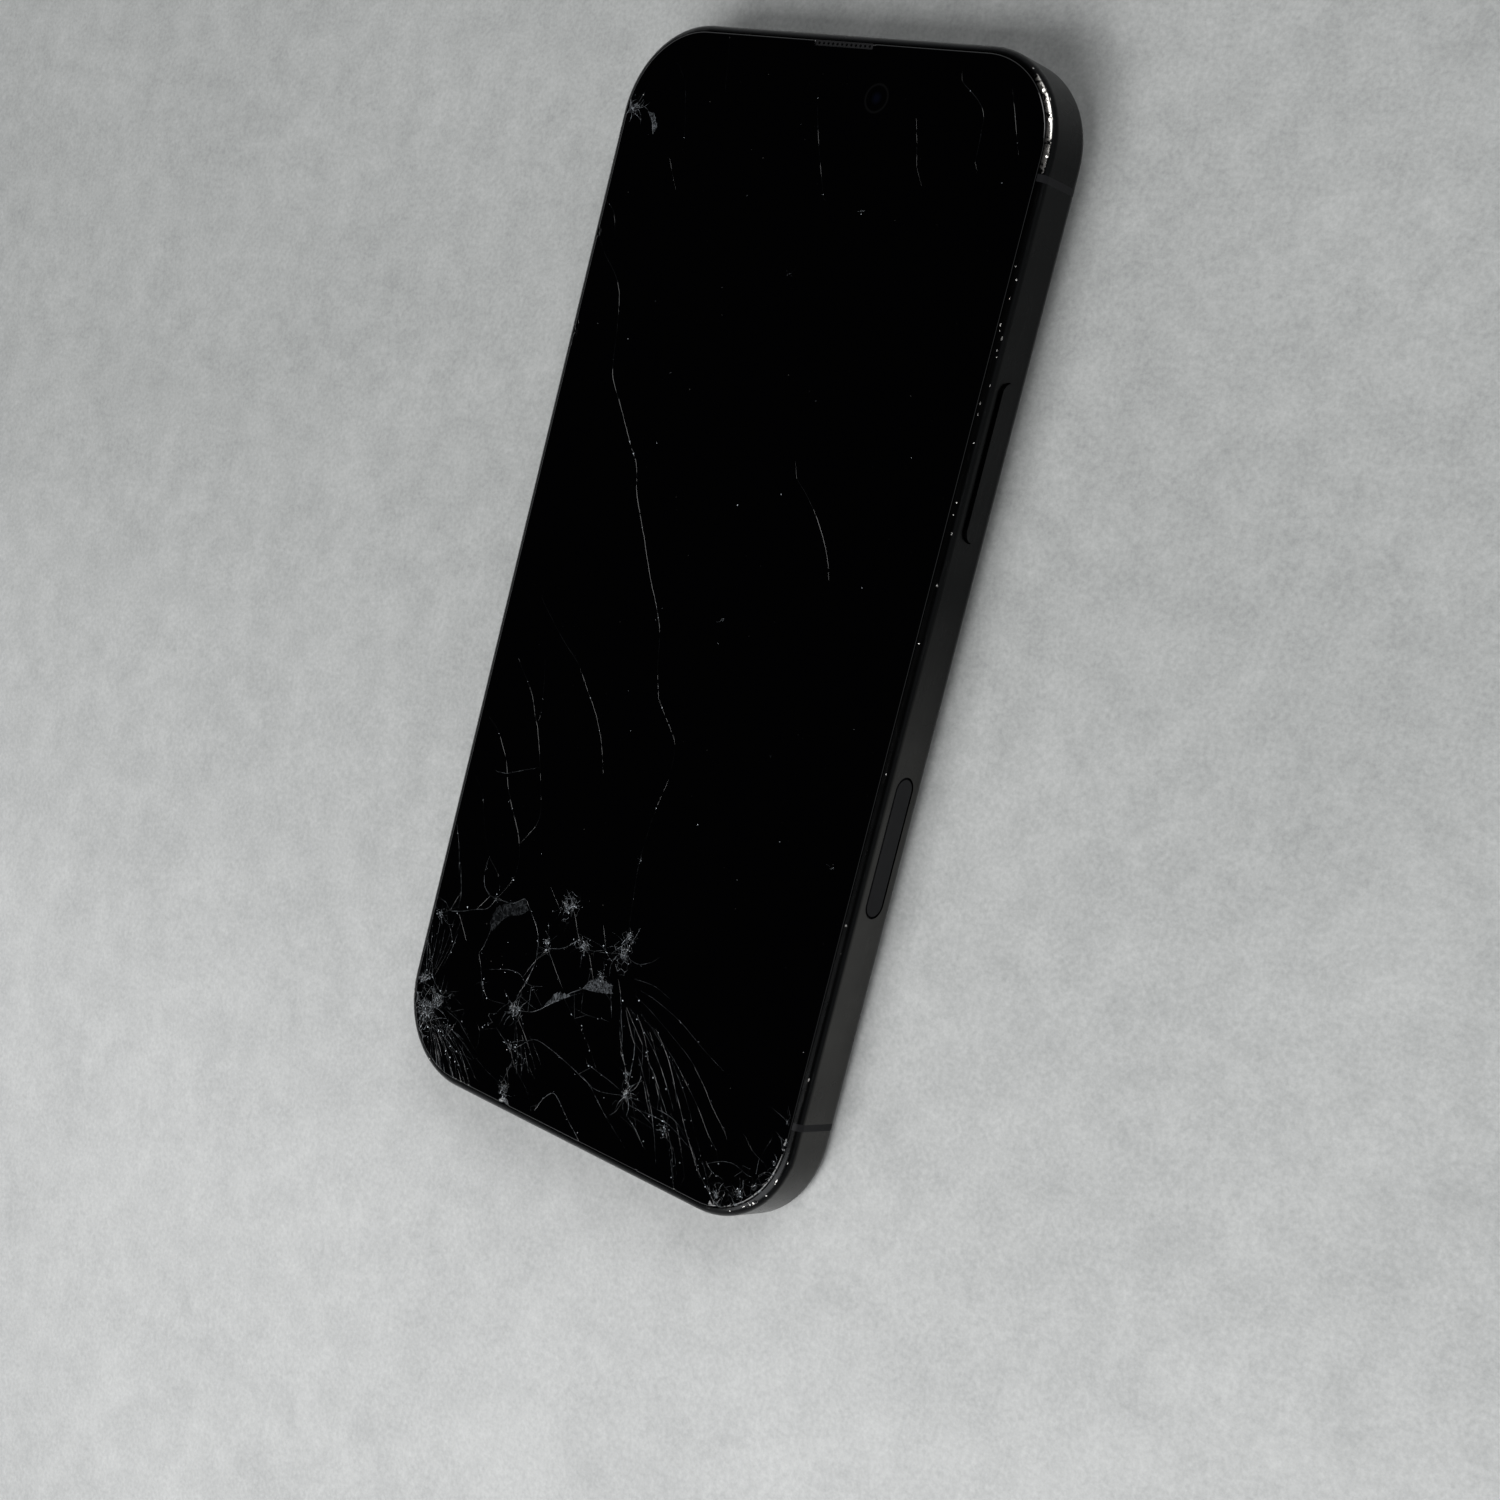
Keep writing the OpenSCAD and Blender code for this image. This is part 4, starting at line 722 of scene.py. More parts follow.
def plateLabels(tri, groove):
    # Number of the plate that each triangle belongs to: triangles joined without crossing a groove
    a, b = neighbours(tri)
    joined = groove[a] == groove[b]
    a, b = a[joined], b[joined]
    label = np.arange(len(tri))
    while True:
        least = np.minimum(label[a], label[b])
        after = label.copy()
        np.minimum.at(after, a, least)
        np.minimum.at(after, b, least)
        after = after[after]
        if np.array_equal(after, label):
            return label
        label = after


def crackedSheet():
    # The top of the sheet: a triangulation that holds every crack's middle and both its rails
    inset = glassSize["rounding"]
    points, edges = [], []
    total = 0

    def addLine(line, closed=False):
        nonlocal total
        index = np.arange(len(line)) + total
        pairs = np.stack([index, np.roll(index, -1)], 1)
        points.append(line)
        edges.append(pairs if closed else pairs[:-1])
        total += len(line)

    addLine(outlineLoop(inset), closed=True)
    for crack in crackLines:
        across = sideways(crack["line"]) * crack["half"][:, None]
        for line in (crack["line"] - across, crack["line"], crack["line"] + across):
            addLine(line)
    for outline, _ in flakes:
        addLine(smoothRoute(outline + outline[:1], 0.6)[:-1], closed=True)
    for centre, radius in zip(pits[0], pits[1]):
        addLine(ringRound(centre, radius, 1, 72), closed=True)
    points.append(loosePoints())
    p = np.vstack(points)
    e = np.vstack(edges)
    gap = outlineGap(p[:, 0], p[:, 1], inset)
    out = (gap > 0.6) | inNotch(p[:, 0], p[:, 1], -0.1)
    e = e[~(out[e].any(1))]
    kept = np.flatnonzero(~out)
    renumber = np.full(len(p), -1)
    renumber[kept] = np.arange(len(kept))
    e = renumber[e]
    made = delaunay_2d_cdt([Vector(v) for v in p[kept]], e.tolist(), [], 0, 1e-4)
    xy = np.array([tuple(v) for v in made[0]])
    tri = np.array(made[2])
    middle = xy[tri].mean(1)
    inside = outlineGap(middle[:, 0], middle[:, 1], inset) < 1e-4
    inside &= ~inNotch(middle[:, 0], middle[:, 1])
    return xy, tri[inside]


def boundaryOrder(tri):
    # Rim points in order: each rim side leads to the next, and doubled jumps count the steps left
    sides = triangleSides(tri)
    size = sides.max() + 1
    single = sides[~np.isin(sides[:, 1] * size + sides[:, 0], sides[:, 0] * size + sides[:, 1])]
    here = np.arange(size)
    follow = here.copy()
    follow[single[:, 0]] = single[:, 1]
    last = single[single[:, 1] == single[0, 0], 0]
    follow[last] = last
    steps = (follow != here).astype(int)
    for _ in range(int(math.log2(len(single))) + 2):
        steps = steps + steps[follow]
        follow = follow[follow]
    return single[np.argsort(-steps[single[:, 0]]), 0]


def settlePlates(xy, tri, groove):
    # Each plate between cracks tips and drops a little; the smaller it is, the more it tips
    values = {"mostTip": 0.12, "tip": 0.045, "drop": 0.02, "stillArea": 300, "proud": 0.01}
    label = plateLabels(tri, groove)
    area = np.abs(triangleArms(xy, tri)[2]) / 2
    _, plate = np.unique(label, return_inverse=True)
    size = np.bincount(plate, area)
    middle = np.stack([np.bincount(plate, area * xy[tri].mean(1)[:, i]) for i in (0, 1)], 1)
    middle /= np.maximum(size, 1e-9)[:, None]
    across = np.sqrt(np.maximum(size, 0.02))
    most = np.minimum(values["mostTip"], values["tip"] / across)[:, None]
    tip = most * rng.normal(0, 0.7, (len(size), 2))
    drop = rng.uniform(0, values["drop"], len(size))
    still = size > values["stillArea"]
    tip[still], drop[still] = 0, 0
    shift = np.zeros(len(xy))
    flat = ~groove
    for corner in range(3):
        at = tri[flat, corner]
        mine = plate[flat]
        shift[at] = ((xy[at] - middle[mine]) * tip[mine]).sum(1) - drop[mine]
    return np.minimum(shift, values["proud"])


def scooped(xy, z):
    # Shell-shaped chips: a ball's surface with faint ripples where it lies below the glass
    top = glassSize["top"]
    for centre, radius in chips:
        away = farFrom(centre, xy)
        ball = top + radius - 0.35 - np.sqrt(np.maximum(radius ** 2 - away ** 2, 0))
        ball += 0.015 * np.sin(away * 22)
        z = np.where(away < radius, np.minimum(z, ball), z)
    return z


def nearPits(points, tile=8.0):
    # Brightness of the pit that a point lies in, or none
    light = np.zeros(len(points))
    cell, pitCell = np.floor(points / tile), np.floor(pits[0] / tile)
    for key in np.unique(pitCell, axis=0):
        mine, here = np.all(cell == key, axis=1), np.all(pitCell == key, axis=1)
        away = np.linalg.norm(points[mine][:, None] - pits[0][here], axis=2)
        light[mine] = ((away < pits[1][here] * 0.8) * pits[2][here]).max(1)
    return light


def outwards(points):
    # Unit vectors out from the outline; none on the walls of the notch
    x, y = points[:, 0], points[:, 1]
    step = 1e-4
    out = np.stack([outlineGap(x + step, y) - outlineGap(x - step, y),
                    outlineGap(x, y + step) - outlineGap(x, y - step)], 1)
    out /= np.linalg.norm(out, axis=1, keepdims=True)
    out[inNotch(x, y, 1e-3) & (y < glassSize["halfH"] - glassSize["rounding"] - 1e-3)] = 0
    return out


def edgeRings(rimXy, rimDrop):
    # Rings that carry the rim round the edge in four steps, the grooves fading out, and down the wall
    inset, top, out = glassSize["rounding"], glassSize["top"], outwards(rimXy)
    rings = []
    for turn in np.radians([22.5, 45, 67.5, 90]):
        reach, fall = math.sin(turn), 1 - math.cos(turn)
        sunk = rimDrop * (1 - 0.4 * turn)
        ringXy = rimXy + out * (inset * reach - sunk * reach * 0.8)[:, None]
        ringZ = scooped(ringXy, top - inset * fall - sunk * (1 - reach * 0.6))
        rings.append(np.column_stack([ringXy, ringZ]))
    rings.append(np.column_stack([rimXy + out * inset, np.full(len(rimXy), glassSize["back"])]))
    return rings


def makeCrackedGlass(material):
    # The cracked top, then rings that round its edge, the side wall and one flat back
    values = {"crushDrop": 0.14, "crushLight": 0.5, "chipPaintedGlint": (0.01, 0.16), "chipRimPaintedGlint": 0.1}
    top = glassSize["top"]
    xy, tri = crackedSheet()
    used, tri = np.unique(tri, return_inverse=True)
    xy, tri = xy[used], tri.reshape(-1, 3)
    segments = crackSegments()
    depth, _ = crackField(xy, segments)
    middle = xy[tri].mean(1)
    _, light = crackField(middle, segments)
    # Painted glints: every face's brightness is scaled at random, as if some groove facets catch light
    light *= 0.3 + 1.9 * rng.random(len(light)) ** 2
    shift = settlePlates(xy, tri, light > 0)
    light = np.maximum(light, nearPits(middle))
    for centre, core in crushed:
        crumble = np.clip(1.15 - farFrom(centre, xy) / core, 0, 1) * min(core, 1.0)
        shift -= crumble * rng.uniform(0, values["crushDrop"], len(xy))
        crumble = np.clip(1.2 - farFrom(centre, middle) / core, 0, 0.7) * rng.random(len(middle)) ** 7
        light = np.maximum(light, crumble * values["crushLight"])
    for outline, level in flakes:
        grains = level * (0.2 + 2.4 * rng.random(len(light)) ** 2)
        light = np.where(insideOf(outline, middle), np.maximum(light, grains), light)
    # Painted glints: random brightness on the faces of each chip's frosted shell
    for centre, radius in chips:
        least, more = values["chipPaintedGlint"]
        paintedGlints = np.maximum(light, least + more * rng.random(len(light)) ** 4)
        light = np.where(farFrom(centre, middle) < radius * 0.75, paintedGlints, light)
    z = scooped(xy, top - depth + shift)

    rim = boundaryOrder(tri)
    rings = edgeRings(xy[rim], top - z[rim])
    size = len(rim)
    loops = [rim] + [np.arange(size) + len(xy) + i * size for i in range(len(rings))]
    quads = [np.stack([np.roll(a, -1), a, b, np.roll(b, -1)], 1) for a, b in zip(loops[:-1], loops[1:])]
    points = np.vstack([np.column_stack([xy, z])] + rings) * mm
    faces = tri.tolist() + np.concatenate(quads).tolist() + [loops[-1][::-1].tolist()]
    _, rimFrostAndGlint = crackField(xy[rim], segments)
    # Painted glints on the edge rings round each chip
    for centre, radius in chips:
        paintedGlints = np.maximum(rimFrostAndGlint, values["chipRimPaintedGlint"] * rng.random(len(rimFrostAndGlint)) ** 2)
        rimFrostAndGlint = np.where(farFrom(centre, xy[rim]) < radius * 0.8, paintedGlints, rimFrostAndGlint)
    frostAndGlint = np.concatenate([light, np.tile(rimFrostAndGlint, len(rings)), [0]]).astype(np.float32)
    piece = meshPiece("crackedGlass", points, faces, material, "phone")
    smooth = np.zeros(len(faces), bool)
    smooth[len(tri):-1] = True
    piece.data.polygons.foreach_set("use_smooth", smooth)
    layer = piece.data.attributes.new("frostAndGlint", "FLOAT", "FACE")
    layer.data.foreach_set("value", np.clip(frostAndGlint, 0, 1))
    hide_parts("front_glass")
    return piece


# Finishes

white = (1, 1, 1, 1)
frost = (0.74, 0.80, 0.86, 1)
bareMetal = (0.62, 0.60, 0.57, 1)
dustColour = (0.36, 0.35, 0.33, 1)
grainDepth = 0.006 * mm


def shatteredGlass():
    # Black glass with a camera behind it, smears and dust; frostAndGlint is each face's share of frost: the
    # cracks' whiteness with painted glints
    values = {"black": (0.0003, 0.0003, 0.0004, 1), "gloss": (0.045, 0.10), "frosted": 0.38,
              "lensAt": (8.0, 66.0, 10.2), "lensRadius": 1.75, "lensRim": 0.0025,
              "lensBlue": (0.0012, 0.0016, 0.004, 1), "specks": 0.10, "lint": 0.035}
    made, tree = newMaterial("shatteredGlass", {"IOR": 1.5})
    crack = tree.node("Attribute", attribute_name="frostAndGlint")["Fac"]
    fromLens = tree.away(values["lensAt"])
    rim = tree.spread(tree.apart(fromLens, values["lensRadius"]), 0.22, 0.05)
    base = tree.blend(tree.spread(fromLens, 0.9, 0.3), values["black"], values["lensBlue"])
    base = tree.blend(tree.times(rim, values["lensRim"]), base, white)
    specks = tree.times(tree.specks(2.2, 0.055, 0.35), values["specks"])
    lint = tree.times(tree.specks(0.9, 0.03, 0.25), values["lint"])
    base = tree.blend(tree.plus(specks, lint), base, dustColour)
    smear = tree.spread(tree.noise(70, 3.0, 0.6), 0.45, 0.75, *values["gloss"])
    rough = tree.plus(smear, tree.spread(crack, 0, 0.25, 0, values["frosted"]))
    tree.feed({"Base Color": tree.blend(crack, base, frost), "Roughness": rough})
    return made


plainValues = {"metal": 0.0, "grain": 0.08, "contrast": 0.7, "relief": 0.35, "rough": (0.40, 0.56),
               "squeeze": None, "lineWidth": 0.01, "lineTone": 0.12, "worn": [], "haze": None,
               "dusty": 0.15, "sockets": {}}


def surfaceFinish(name, dark, light, **changes):
    # Two tones mixed by grain; over them hairlines, a painted sheen towards one end of the upright
    # walls (a lighter tone standing in for reflected light), bare patches on the rounded edges, and dust
    values = {**plainValues, **changes}
    made, tree = newMaterial(name, {"Metallic": values["metal"], **values["sockets"]})
    fine = tree.grained(values["grain"], values["contrast"])
    height = fine["Height"]
    base = tree.blend(fine["Tone"], (*dark, 1), (*light, 1))
    if values["squeeze"]:
        lines = tree.lined(values["squeeze"], values["lineWidth"])
        base = tree.blend(tree.times(lines["Mask"], values["lineTone"]), base, bareMetal)
        height = tree.plus(tree.times(height, 0.5), tree.times(lines["Height"], 0.5))
    if values["haze"] or values["worn"]:
        normal = tree.node("SeparateXYZ", {0: tree.node("TexCoord")["Normal"]})["Z"]
        facing = tree.calc("ABSOLUTE", normal)
    # Painted sheen: the upright walls lighten towards one end, a painted reflection mixed into the base
    # colour
    if values["haze"]:
        start, end, amount = values["haze"]
        paintedSheenShare = tree.spread(tree.part("Y"), start * mm, end * mm, 0, amount)
        paintedSheenShare = tree.times(paintedSheenShare, tree.spread(tree.noise(70, 4.0, 0.62), 0.3, 0.7, 0.75, 1.15))
        base = tree.blend(tree.times(paintedSheenShare, tree.spread(facing, 0.35, 0.05)), base, dustColour)
    if values["worn"]:
        ridge = tree.spread(tree.apart(facing, 0.86), 0.14, 0.08)
        for centre, radius, size, edge in values["worn"]:
            patch = tree.placed(wear, Centre=centre, Radius=radius, Size=size, Edge=edge)["Mask"]
            base = tree.blend(tree.times(patch, ridge), base, bareMetal)
    if values["dusty"]:
        base = tree.blend(tree.times(tree.specks(1.1, 0.05, values["dusty"]), 0.35), base, dustColour)
    rough = tree.spread(tree.noise(120, 3.0, 0.6), 0.3, 0.7, *values["rough"])
    tree.feed({"Base Color": base, "Roughness": rough})
    tree.raised(height, grainDepth, values["relief"])
    return made


def frostedRearGlass():
    # Etched matte back with a polished camera plateau, told apart by height
    values = {"dark": (0.020, 0.021, 0.023, 1), "light": (0.030, 0.031, 0.034, 1), "matte": 0.42,
              "polished": 0.10, "plateau": (2.36, 2.30), "scuffs": 0.10, "dusty": 0.3}
    made, tree = newMaterial("frostedRearGlass", {"IOR": 1.5})
    fine = tree.grained(0.12, 0.8)
    handled = tree.spread(tree.noise(45, 2.0, 0.5), 0.52, 0.68)
    scuffs = tree.times(tree.lined((0.9, 38.0, 9.0), 0.0013)["Mask"], handled)
    base = tree.blend(fine["Tone"], values["dark"], values["light"])
    base = tree.blend(tree.times(scuffs, values["scuffs"]), base, frost)
    base = tree.blend(tree.times(tree.specks(1.6, 0.05, 0.3), values["dusty"]), base, dustColour)
    low, high = values["plateau"]
    raisedPart = tree.spread(tree.part("Z"), low * mm, high * mm)
    smear = tree.spread(tree.noise(60, 3.0, 0.6), 0.4, 0.7, 0, 0.08)
    rough = tree.spread(raisedPart, 0, 1, values["matte"], values["polished"])
    tree.feed({"Base Color": base, "Roughness": tree.plus(rough, smear)})
    tree.raised(tree.times(fine["Height"], tree.minus(1.0, raisedPart)), grainDepth, 0.4)
    return made


def clearFinish(name, colour, rough, sockets):
    # Clear or tinted lens material with faint smears in its gloss
    made, tree = newMaterial(name, {"Base Color": colour, **sockets})
    tree.feed({"Roughness": tree.spread(tree.noise(400, 3.0, 0.6), 0.4, 0.7, *rough)})
    return made


def coatedLens():
    # Dark element whose anti-glare coating turns from violet to green towards its rim
    values = {"violet": (0.012, 0.006, 0.030, 1), "green": (0.006, 0.030, 0.022, 1)}
    made, tree = newMaterial("coatedLens", {"Roughness": 0.03, "IOR": 1.6, "Coat Weight": 1.0})
    facing = tree.node("LayerWeight", {"Blend": 0.35})["Facing"]
    tree.feed({"Base Color": tree.blend(facing, values["violet"], values["green"])})
    return made


def ringedFinish(name, dark, light, centre, pitch, **sockets):
    # Fine rings about a centre: a sine of the distance over the pitch, in tone and relief
    made, tree = newMaterial(name, sockets)
    away = tree.away(centre, (1 / mm, 1 / mm, 0))
    wave = tree.calc("SINE", tree.times(away, 2 * math.pi / pitch))
    fine = tree.spread(tree.grained(0.2, 0.5)["Tone"], 0, 1, 0.7, 1.2)
    tone = tree.times(tree.spread(wave, -1, 1, 0.3, 1.0), fine)
    tree.feed({"Base Color": tree.blend(tone, (*dark, 1), (*light, 1))})
    tree.raised(wave, 0.02 * mm, 0.5)
    return made


def boardFinish():
    # Solder mask with a net of tracks under it and small gold pads
    values = {"mask": (0.006, 0.030, 0.018, 1), "track": (0.014, 0.065, 0.038, 1),
              "gold": (0.75, 0.52, 0.20, 1)}
    made, tree = newMaterial("solderMask", {"Roughness": 0.32, "Coat Weight": 0.4})
    inputs = {"Vector": tree.point((1.0, 1.0, 0.0)), "Scale": 900.0}
    net = tree.node("TexVoronoi", inputs, distance="MANHATTAN", feature="F1")
    track = tree.spread(net["Distance"], 0.52, 0.60)
    pads = tree.specks(0.9, 0.16, 0.6)
    base = tree.blend(pads, tree.blend(track, values["mask"], values["track"]), values["gold"])
    tree.feed({"Base Color": base, "Metallic": pads})
    tree.raised(track, 0.02 * mm, 0.4)
    return made


def foilFinish():
    # Wrinkled laminate pouch with a matte band across it
    values = {"dark": (0.012, 0.012, 0.013, 1), "light": (0.030, 0.030, 0.032, 1),
              "label": (0.055, 0.055, 0.058, 1), "labelAt": 3.2, "labelHalf": 26}
    made, tree = newMaterial("pouchFoil", {"Metallic": 0.3})
    crease = tree.noise(130, 4.0, 0.65)
    along = tree.calc("ABSOLUTE", tree.plus(tree.part("Y"), values["labelAt"] * mm))
    band = tree.below(along, values["labelHalf"] * mm)
    base = tree.blend(crease, values["dark"], values["light"])
    base = tree.blend(tree.times(band, 0.5), base, values["label"])
    tree.feed({"Base Color": base, "Roughness": tree.spread(band, 0, 1, 0.30, 0.62)})
    tree.raised(crease, 0.15 * mm, 0.4)
    return made


def panelFinish():
    # Black panel with the faint grid of its dots
    made, tree = newMaterial("darkPanel", {"Roughness": 0.18})
    grid = tree.node("TexVoronoi", {"Vector": tree.point(), "Scale": 9000.0, "Randomness": 0.0})
    dot = tree.spread(grid["Distance"], 0.3, 0.45)
    tree.feed({"Base Color": tree.blend(dot, (0.006, 0.006, 0.009, 1), (0.002, 0.002, 0.003, 1))})
    return made


def socketFinish():
    # Drawn steel shell round a tongue of black plastic, told apart by where a point lies
    values = {"tongue": (3.55, 0.45), "level": 6.3, "mouth": -72.9,
              "steelDark": (0.20, 0.20, 0.21, 1), "steelLight": (0.34, 0.34, 0.35, 1),
              "plasticDark": (0.008, 0.008, 0.009, 1), "plasticLight": (0.022, 0.022, 0.023, 1)}
    made, tree = newMaterial("socketShell", {})
    across = tree.below(tree.calc("ABSOLUTE", tree.part("X")), values["tongue"][0] * mm)
    upright = tree.below(tree.apart(tree.part("Z"), values["level"] * mm), values["tongue"][1] * mm)
    behind = tree.calc("GREATER_THAN", tree.part("Y"), values["mouth"] * mm)
    tongue = tree.times(tree.times(across, upright), behind)
    fine = tree.grained(0.06, 0.8)
    lines = tree.lined((320.0, 18.0, 320.0), 0.01)["Mask"]
    steel = tree.blend(fine["Tone"], values["steelDark"], values["steelLight"])
    steel = tree.blend(tree.times(lines, 0.2), steel, bareMetal)
    moulded = tree.blend(fine["Tone"], values["plasticDark"], values["plasticLight"])
    rough = tree.spread(tongue, 0, 1, 0.32, 0.48)
    base = tree.blend(tongue, steel, moulded)
    tree.feed({"Base Color": base, "Metallic": tree.minus(1.0, tongue), "Roughness": rough})
    tree.raised(fine["Height"], grainDepth, 0.4)
    return made


knocks = [  # middle, radius, size of the break-up, cut level of the bare patches round the band
    ((33.2, 70.2, 9.7), 3.0, 0.5, 0.42), ((34.9, 67.8, 9.7), 2.8, 0.4, 0.42),
    ((35.6, 64.6, 9.6), 3.0, 0.5, 0.46), ((35.7, 61.2, 9.6), 2.8, 0.5, 0.50),
    ((32.4, -70.6, 9.8), 2.2, 0.4, 0.58), ((35.4, -66.4, 9.8), 2.2, 0.4, 0.62),
    ((-33.4, -70.0, 9.8), 2.0, 0.4, 0.58), ((-35.6, -64.0, 9.9), 2.0, 0.4, 0.62),
    ((-34.8, 67.0, 9.8), 1.6, 0.4, 0.60), ((33.4, 69.6, 2.7), 2.2, 0.5, 0.60),
    ((-33.4, -69.6, 2.7), 2.4, 0.6, 0.58), ((33.6, -69.4, 2.7), 1.8, 0.5, 0.62),
]
coated = {"metal": 1.0, "grain": 0.05, "contrast": 0.6, "squeeze": (60.0, 5.0, 90.0), "lineWidth": 0.004,
          "lineTone": 0.014, "relief": 0.3, "rough": (0.24, 0.31), "dusty": 0.2}
steelLook = {"metal": 1.0, "grain": 0.06, "rough": (0.28, 0.42), "squeeze": (18.0, 320.0, 320.0),
             "lineTone": 0.25, "dusty": 0.0}
smallMetal = {"metal": 1.0, "grain": 0.04, "rough": (0.22, 0.36), "dusty": 0.0}

bandTones = ((0.0070, 0.0072, 0.0074), (0.0126, 0.0130, 0.0134))
# The band's painted sheen: lighter towards its lower end, standing in for reflected light
bandFinish = surfaceFinish("anodisedBand", *bandTones, worn=knocks, haze=(8.0, -24.0, 0.125), **coated)
capFinish = surfaceFinish("anodisedCap", *bandTones, **coated)
glassFinish = shatteredGlass()
finishes = {
    bandFinish: ["frame"],
    capFinish: ["side_button", "volume_up_button", "volume_down_button", "mute_switch"],
    surfaceFinish("antennaPlastic", (0.004, 0.004, 0.005), (0.010, 0.010, 0.011), rough=(0.42, 0.54),
                  grain=0.04, sockets={"Specular IOR Level": 0.12}): ["antenna_breaks", "antenna_window"],
    frostedRearGlass(): ["rear_glass"],
    surfaceFinish("sealFoam", (0.006, 0.006, 0.006), (0.014, 0.014, 0.014), rough=(0.7, 0.9), grain=0.15,
                  relief=0.8): ["display_gasket", "rear_gasket"],
    surfaceFinish("mouldedPlastic", (0.010, 0.010, 0.011), (0.020, 0.020, 0.021)):
        ["display_carrier", "earpiece_speaker", "loudspeaker", "mute_switch_housing"],
    panelFinish(): ["display_panel"],
    surfaceFinish("pressedSteel", (0.36, 0.37, 0.38), (0.52, 0.53, 0.55), **steelLook):
        ["display_shield", "camera_bracket", "connector_cover", "haptic_motor"],
    surfaceFinish("polyimideRibbon", (0.30, 0.12, 0.025), (0.46, 0.21, 0.05), rough=(0.24, 0.36), dusty=0.0,
                  squeeze=(160.0, 12.0, 160.0), lineWidth=0.03, lineTone=0.3):
        ["display_flex", "port_flex", "antenna_flexes"],
    surfaceFinish("wovenMesh", (0.004, 0.004, 0.004), (0.030, 0.030, 0.032), metal=0.6, grain=0.09,
                  contrast=3.0, relief=1.0, dusty=0.4): ["earpiece_mesh", "speaker_mesh"],
    surfaceFinish("turnedRing", (0.045, 0.046, 0.05), (0.085, 0.087, 0.092), metal=1.0, rough=(0.12, 0.22),
                  grain=0.05, relief=0.2): ["lens_rings"],
    clearFinish("coatedSapphire", (0.90, 0.94, 1.0, 1), (0.0, 0.03),
                {"IOR": 1.30, "Transmission Weight": 1.0}): ["lens_windows"],
    ringedFinish("ribbedFlash", (0.60, 0.54, 0.30), (0.86, 0.82, 0.62), (10.6, 62.6, 0.0), 0.3,
                 Roughness=0.22, **{"Transmission Weight": 0.35}): ["flash_lens"],
    surfaceFinish("cameraBlack", (0.006, 0.006, 0.007), (0.016, 0.016, 0.018), rough=(0.34, 0.48),
                  grain=0.05): ["wide_camera", "ultrawide_camera", "front_camera", "sensor_module"],
    surfaceFinish("phosphor", (0.62, 0.50, 0.10), (0.82, 0.70, 0.22), grain=0.1): ["flash_module"],
    ringedFinish("enamelledCopper", (0.20, 0.07, 0.02), (0.62, 0.27, 0.10), (0.0, -4.0, 0.0), 0.19,
                 Metallic=1.0, Roughness=0.32): ["charging_coil"],
    surfaceFinish("ferriteSheet", (0.035, 0.035, 0.038), (0.065, 0.065, 0.07), rough=(0.5, 0.65)):
        ["coil_shield"],
    surfaceFinish("nickelMagnet", (0.42, 0.41, 0.39), (0.58, 0.57, 0.54), **smallMetal): ["magnet_ring"],
    foilFinish(): ["battery"],
    surfaceFinish("pullStrip", (0.52, 0.52, 0.50), (0.70, 0.70, 0.68), rough=(0.45, 0.6), grain=0.4):
        ["battery_adhesive"],
    boardFinish(): ["logic_board"],
    surfaceFinish("tinnedCan", (0.44, 0.45, 0.46), (0.60, 0.61, 0.62), **steelLook): ["board_shields"],
    surfaceFinish("connectorPlastic", (0.016, 0.016, 0.017), (0.10, 0.075, 0.03), contrast=2.0, grain=0.25):
        ["board_connectors"],
    socketFinish(): ["charge_port"],
    surfaceFinish("goldContact", (0.62, 0.42, 0.14), (0.84, 0.62, 0.26), **smallMetal):
        ["microphones", "side_button_switch", "volume_switches"],
    surfaceFinish("steelScrew", (0.42, 0.42, 0.43), (0.58, 0.58, 0.60), **smallMetal): ["internal_screws"],
    surfaceFinish("blackScrew", (0.06, 0.06, 0.065), (0.12, 0.12, 0.125), **smallMetal): ["bottom_screws"],
}
for material, names in finishes.items():
    for name in names:
        nodes[name].data.materials.clear()
        nodes[name].data.materials.append(material)
print("finishes made:", len(finishes))

crackedGlass = makeCrackedGlass(glassFinish)
print("cover glass made:", len(crackedGlass.data.polygons), "faces")


# Small pieces

def ball(rows, cols):
    # Unit ball: rings of points between two poles
    lat = np.linspace(-np.pi / 2, np.pi / 2, rows + 2)[1:-1, None]
    lon = np.linspace(0, 2 * np.pi, cols, endpoint=False)
    rings = np.stack([np.cos(lat) * np.cos(lon), np.cos(lat) * np.sin(lon), np.sin(lat) + 0 * lon], 2)
    return capped(rings.reshape(-1, 3), rows, cols, (0, 0, -1), (0, 0, 1))


def capped(rings, rows, cols, first, last):
    # Rings joined by quads and closed by a fan to a pole at each end
    here = np.arange(cols)
    ahead = np.roll(here, -1)
    low, high = rows * cols, rows * cols + 1
    faces = gridFaces(rows, cols, True).tolist()
    faces += np.stack([np.full(cols, low), ahead, here], 1).tolist()
    top = here + (rows - 1) * cols
    faces += np.stack([np.full(cols, high), top, np.roll(top, -1)], 1).tolist()
    return np.vstack([rings, [first], [last]]), faces


def copies(shape, faces, centres, frames):
    # The shape at each centre, turned and sized by the three rows of its own frame
    points = np.einsum("nij,mi->nmj", frames, shape) + centres[:, None]
    shifted = [[[v + i * len(shape) for v in face] for face in faces] for i in range(len(centres))]
    return points.reshape(-1, 3), sum(shifted, [])


def turnedRows(p, centre, steps):
    # One ring of points round the axis for each radius and height
    turn = np.linspace(0, 2 * np.pi, steps, endpoint=False)
    radius, height = p[:, :1], p[:, 1:]
    x, y = centre[0] + radius * np.cos(turn), centre[1] + radius * np.sin(turn)
    return np.stack([x, y, height + 0 * turn], 2).reshape(-1, 3)


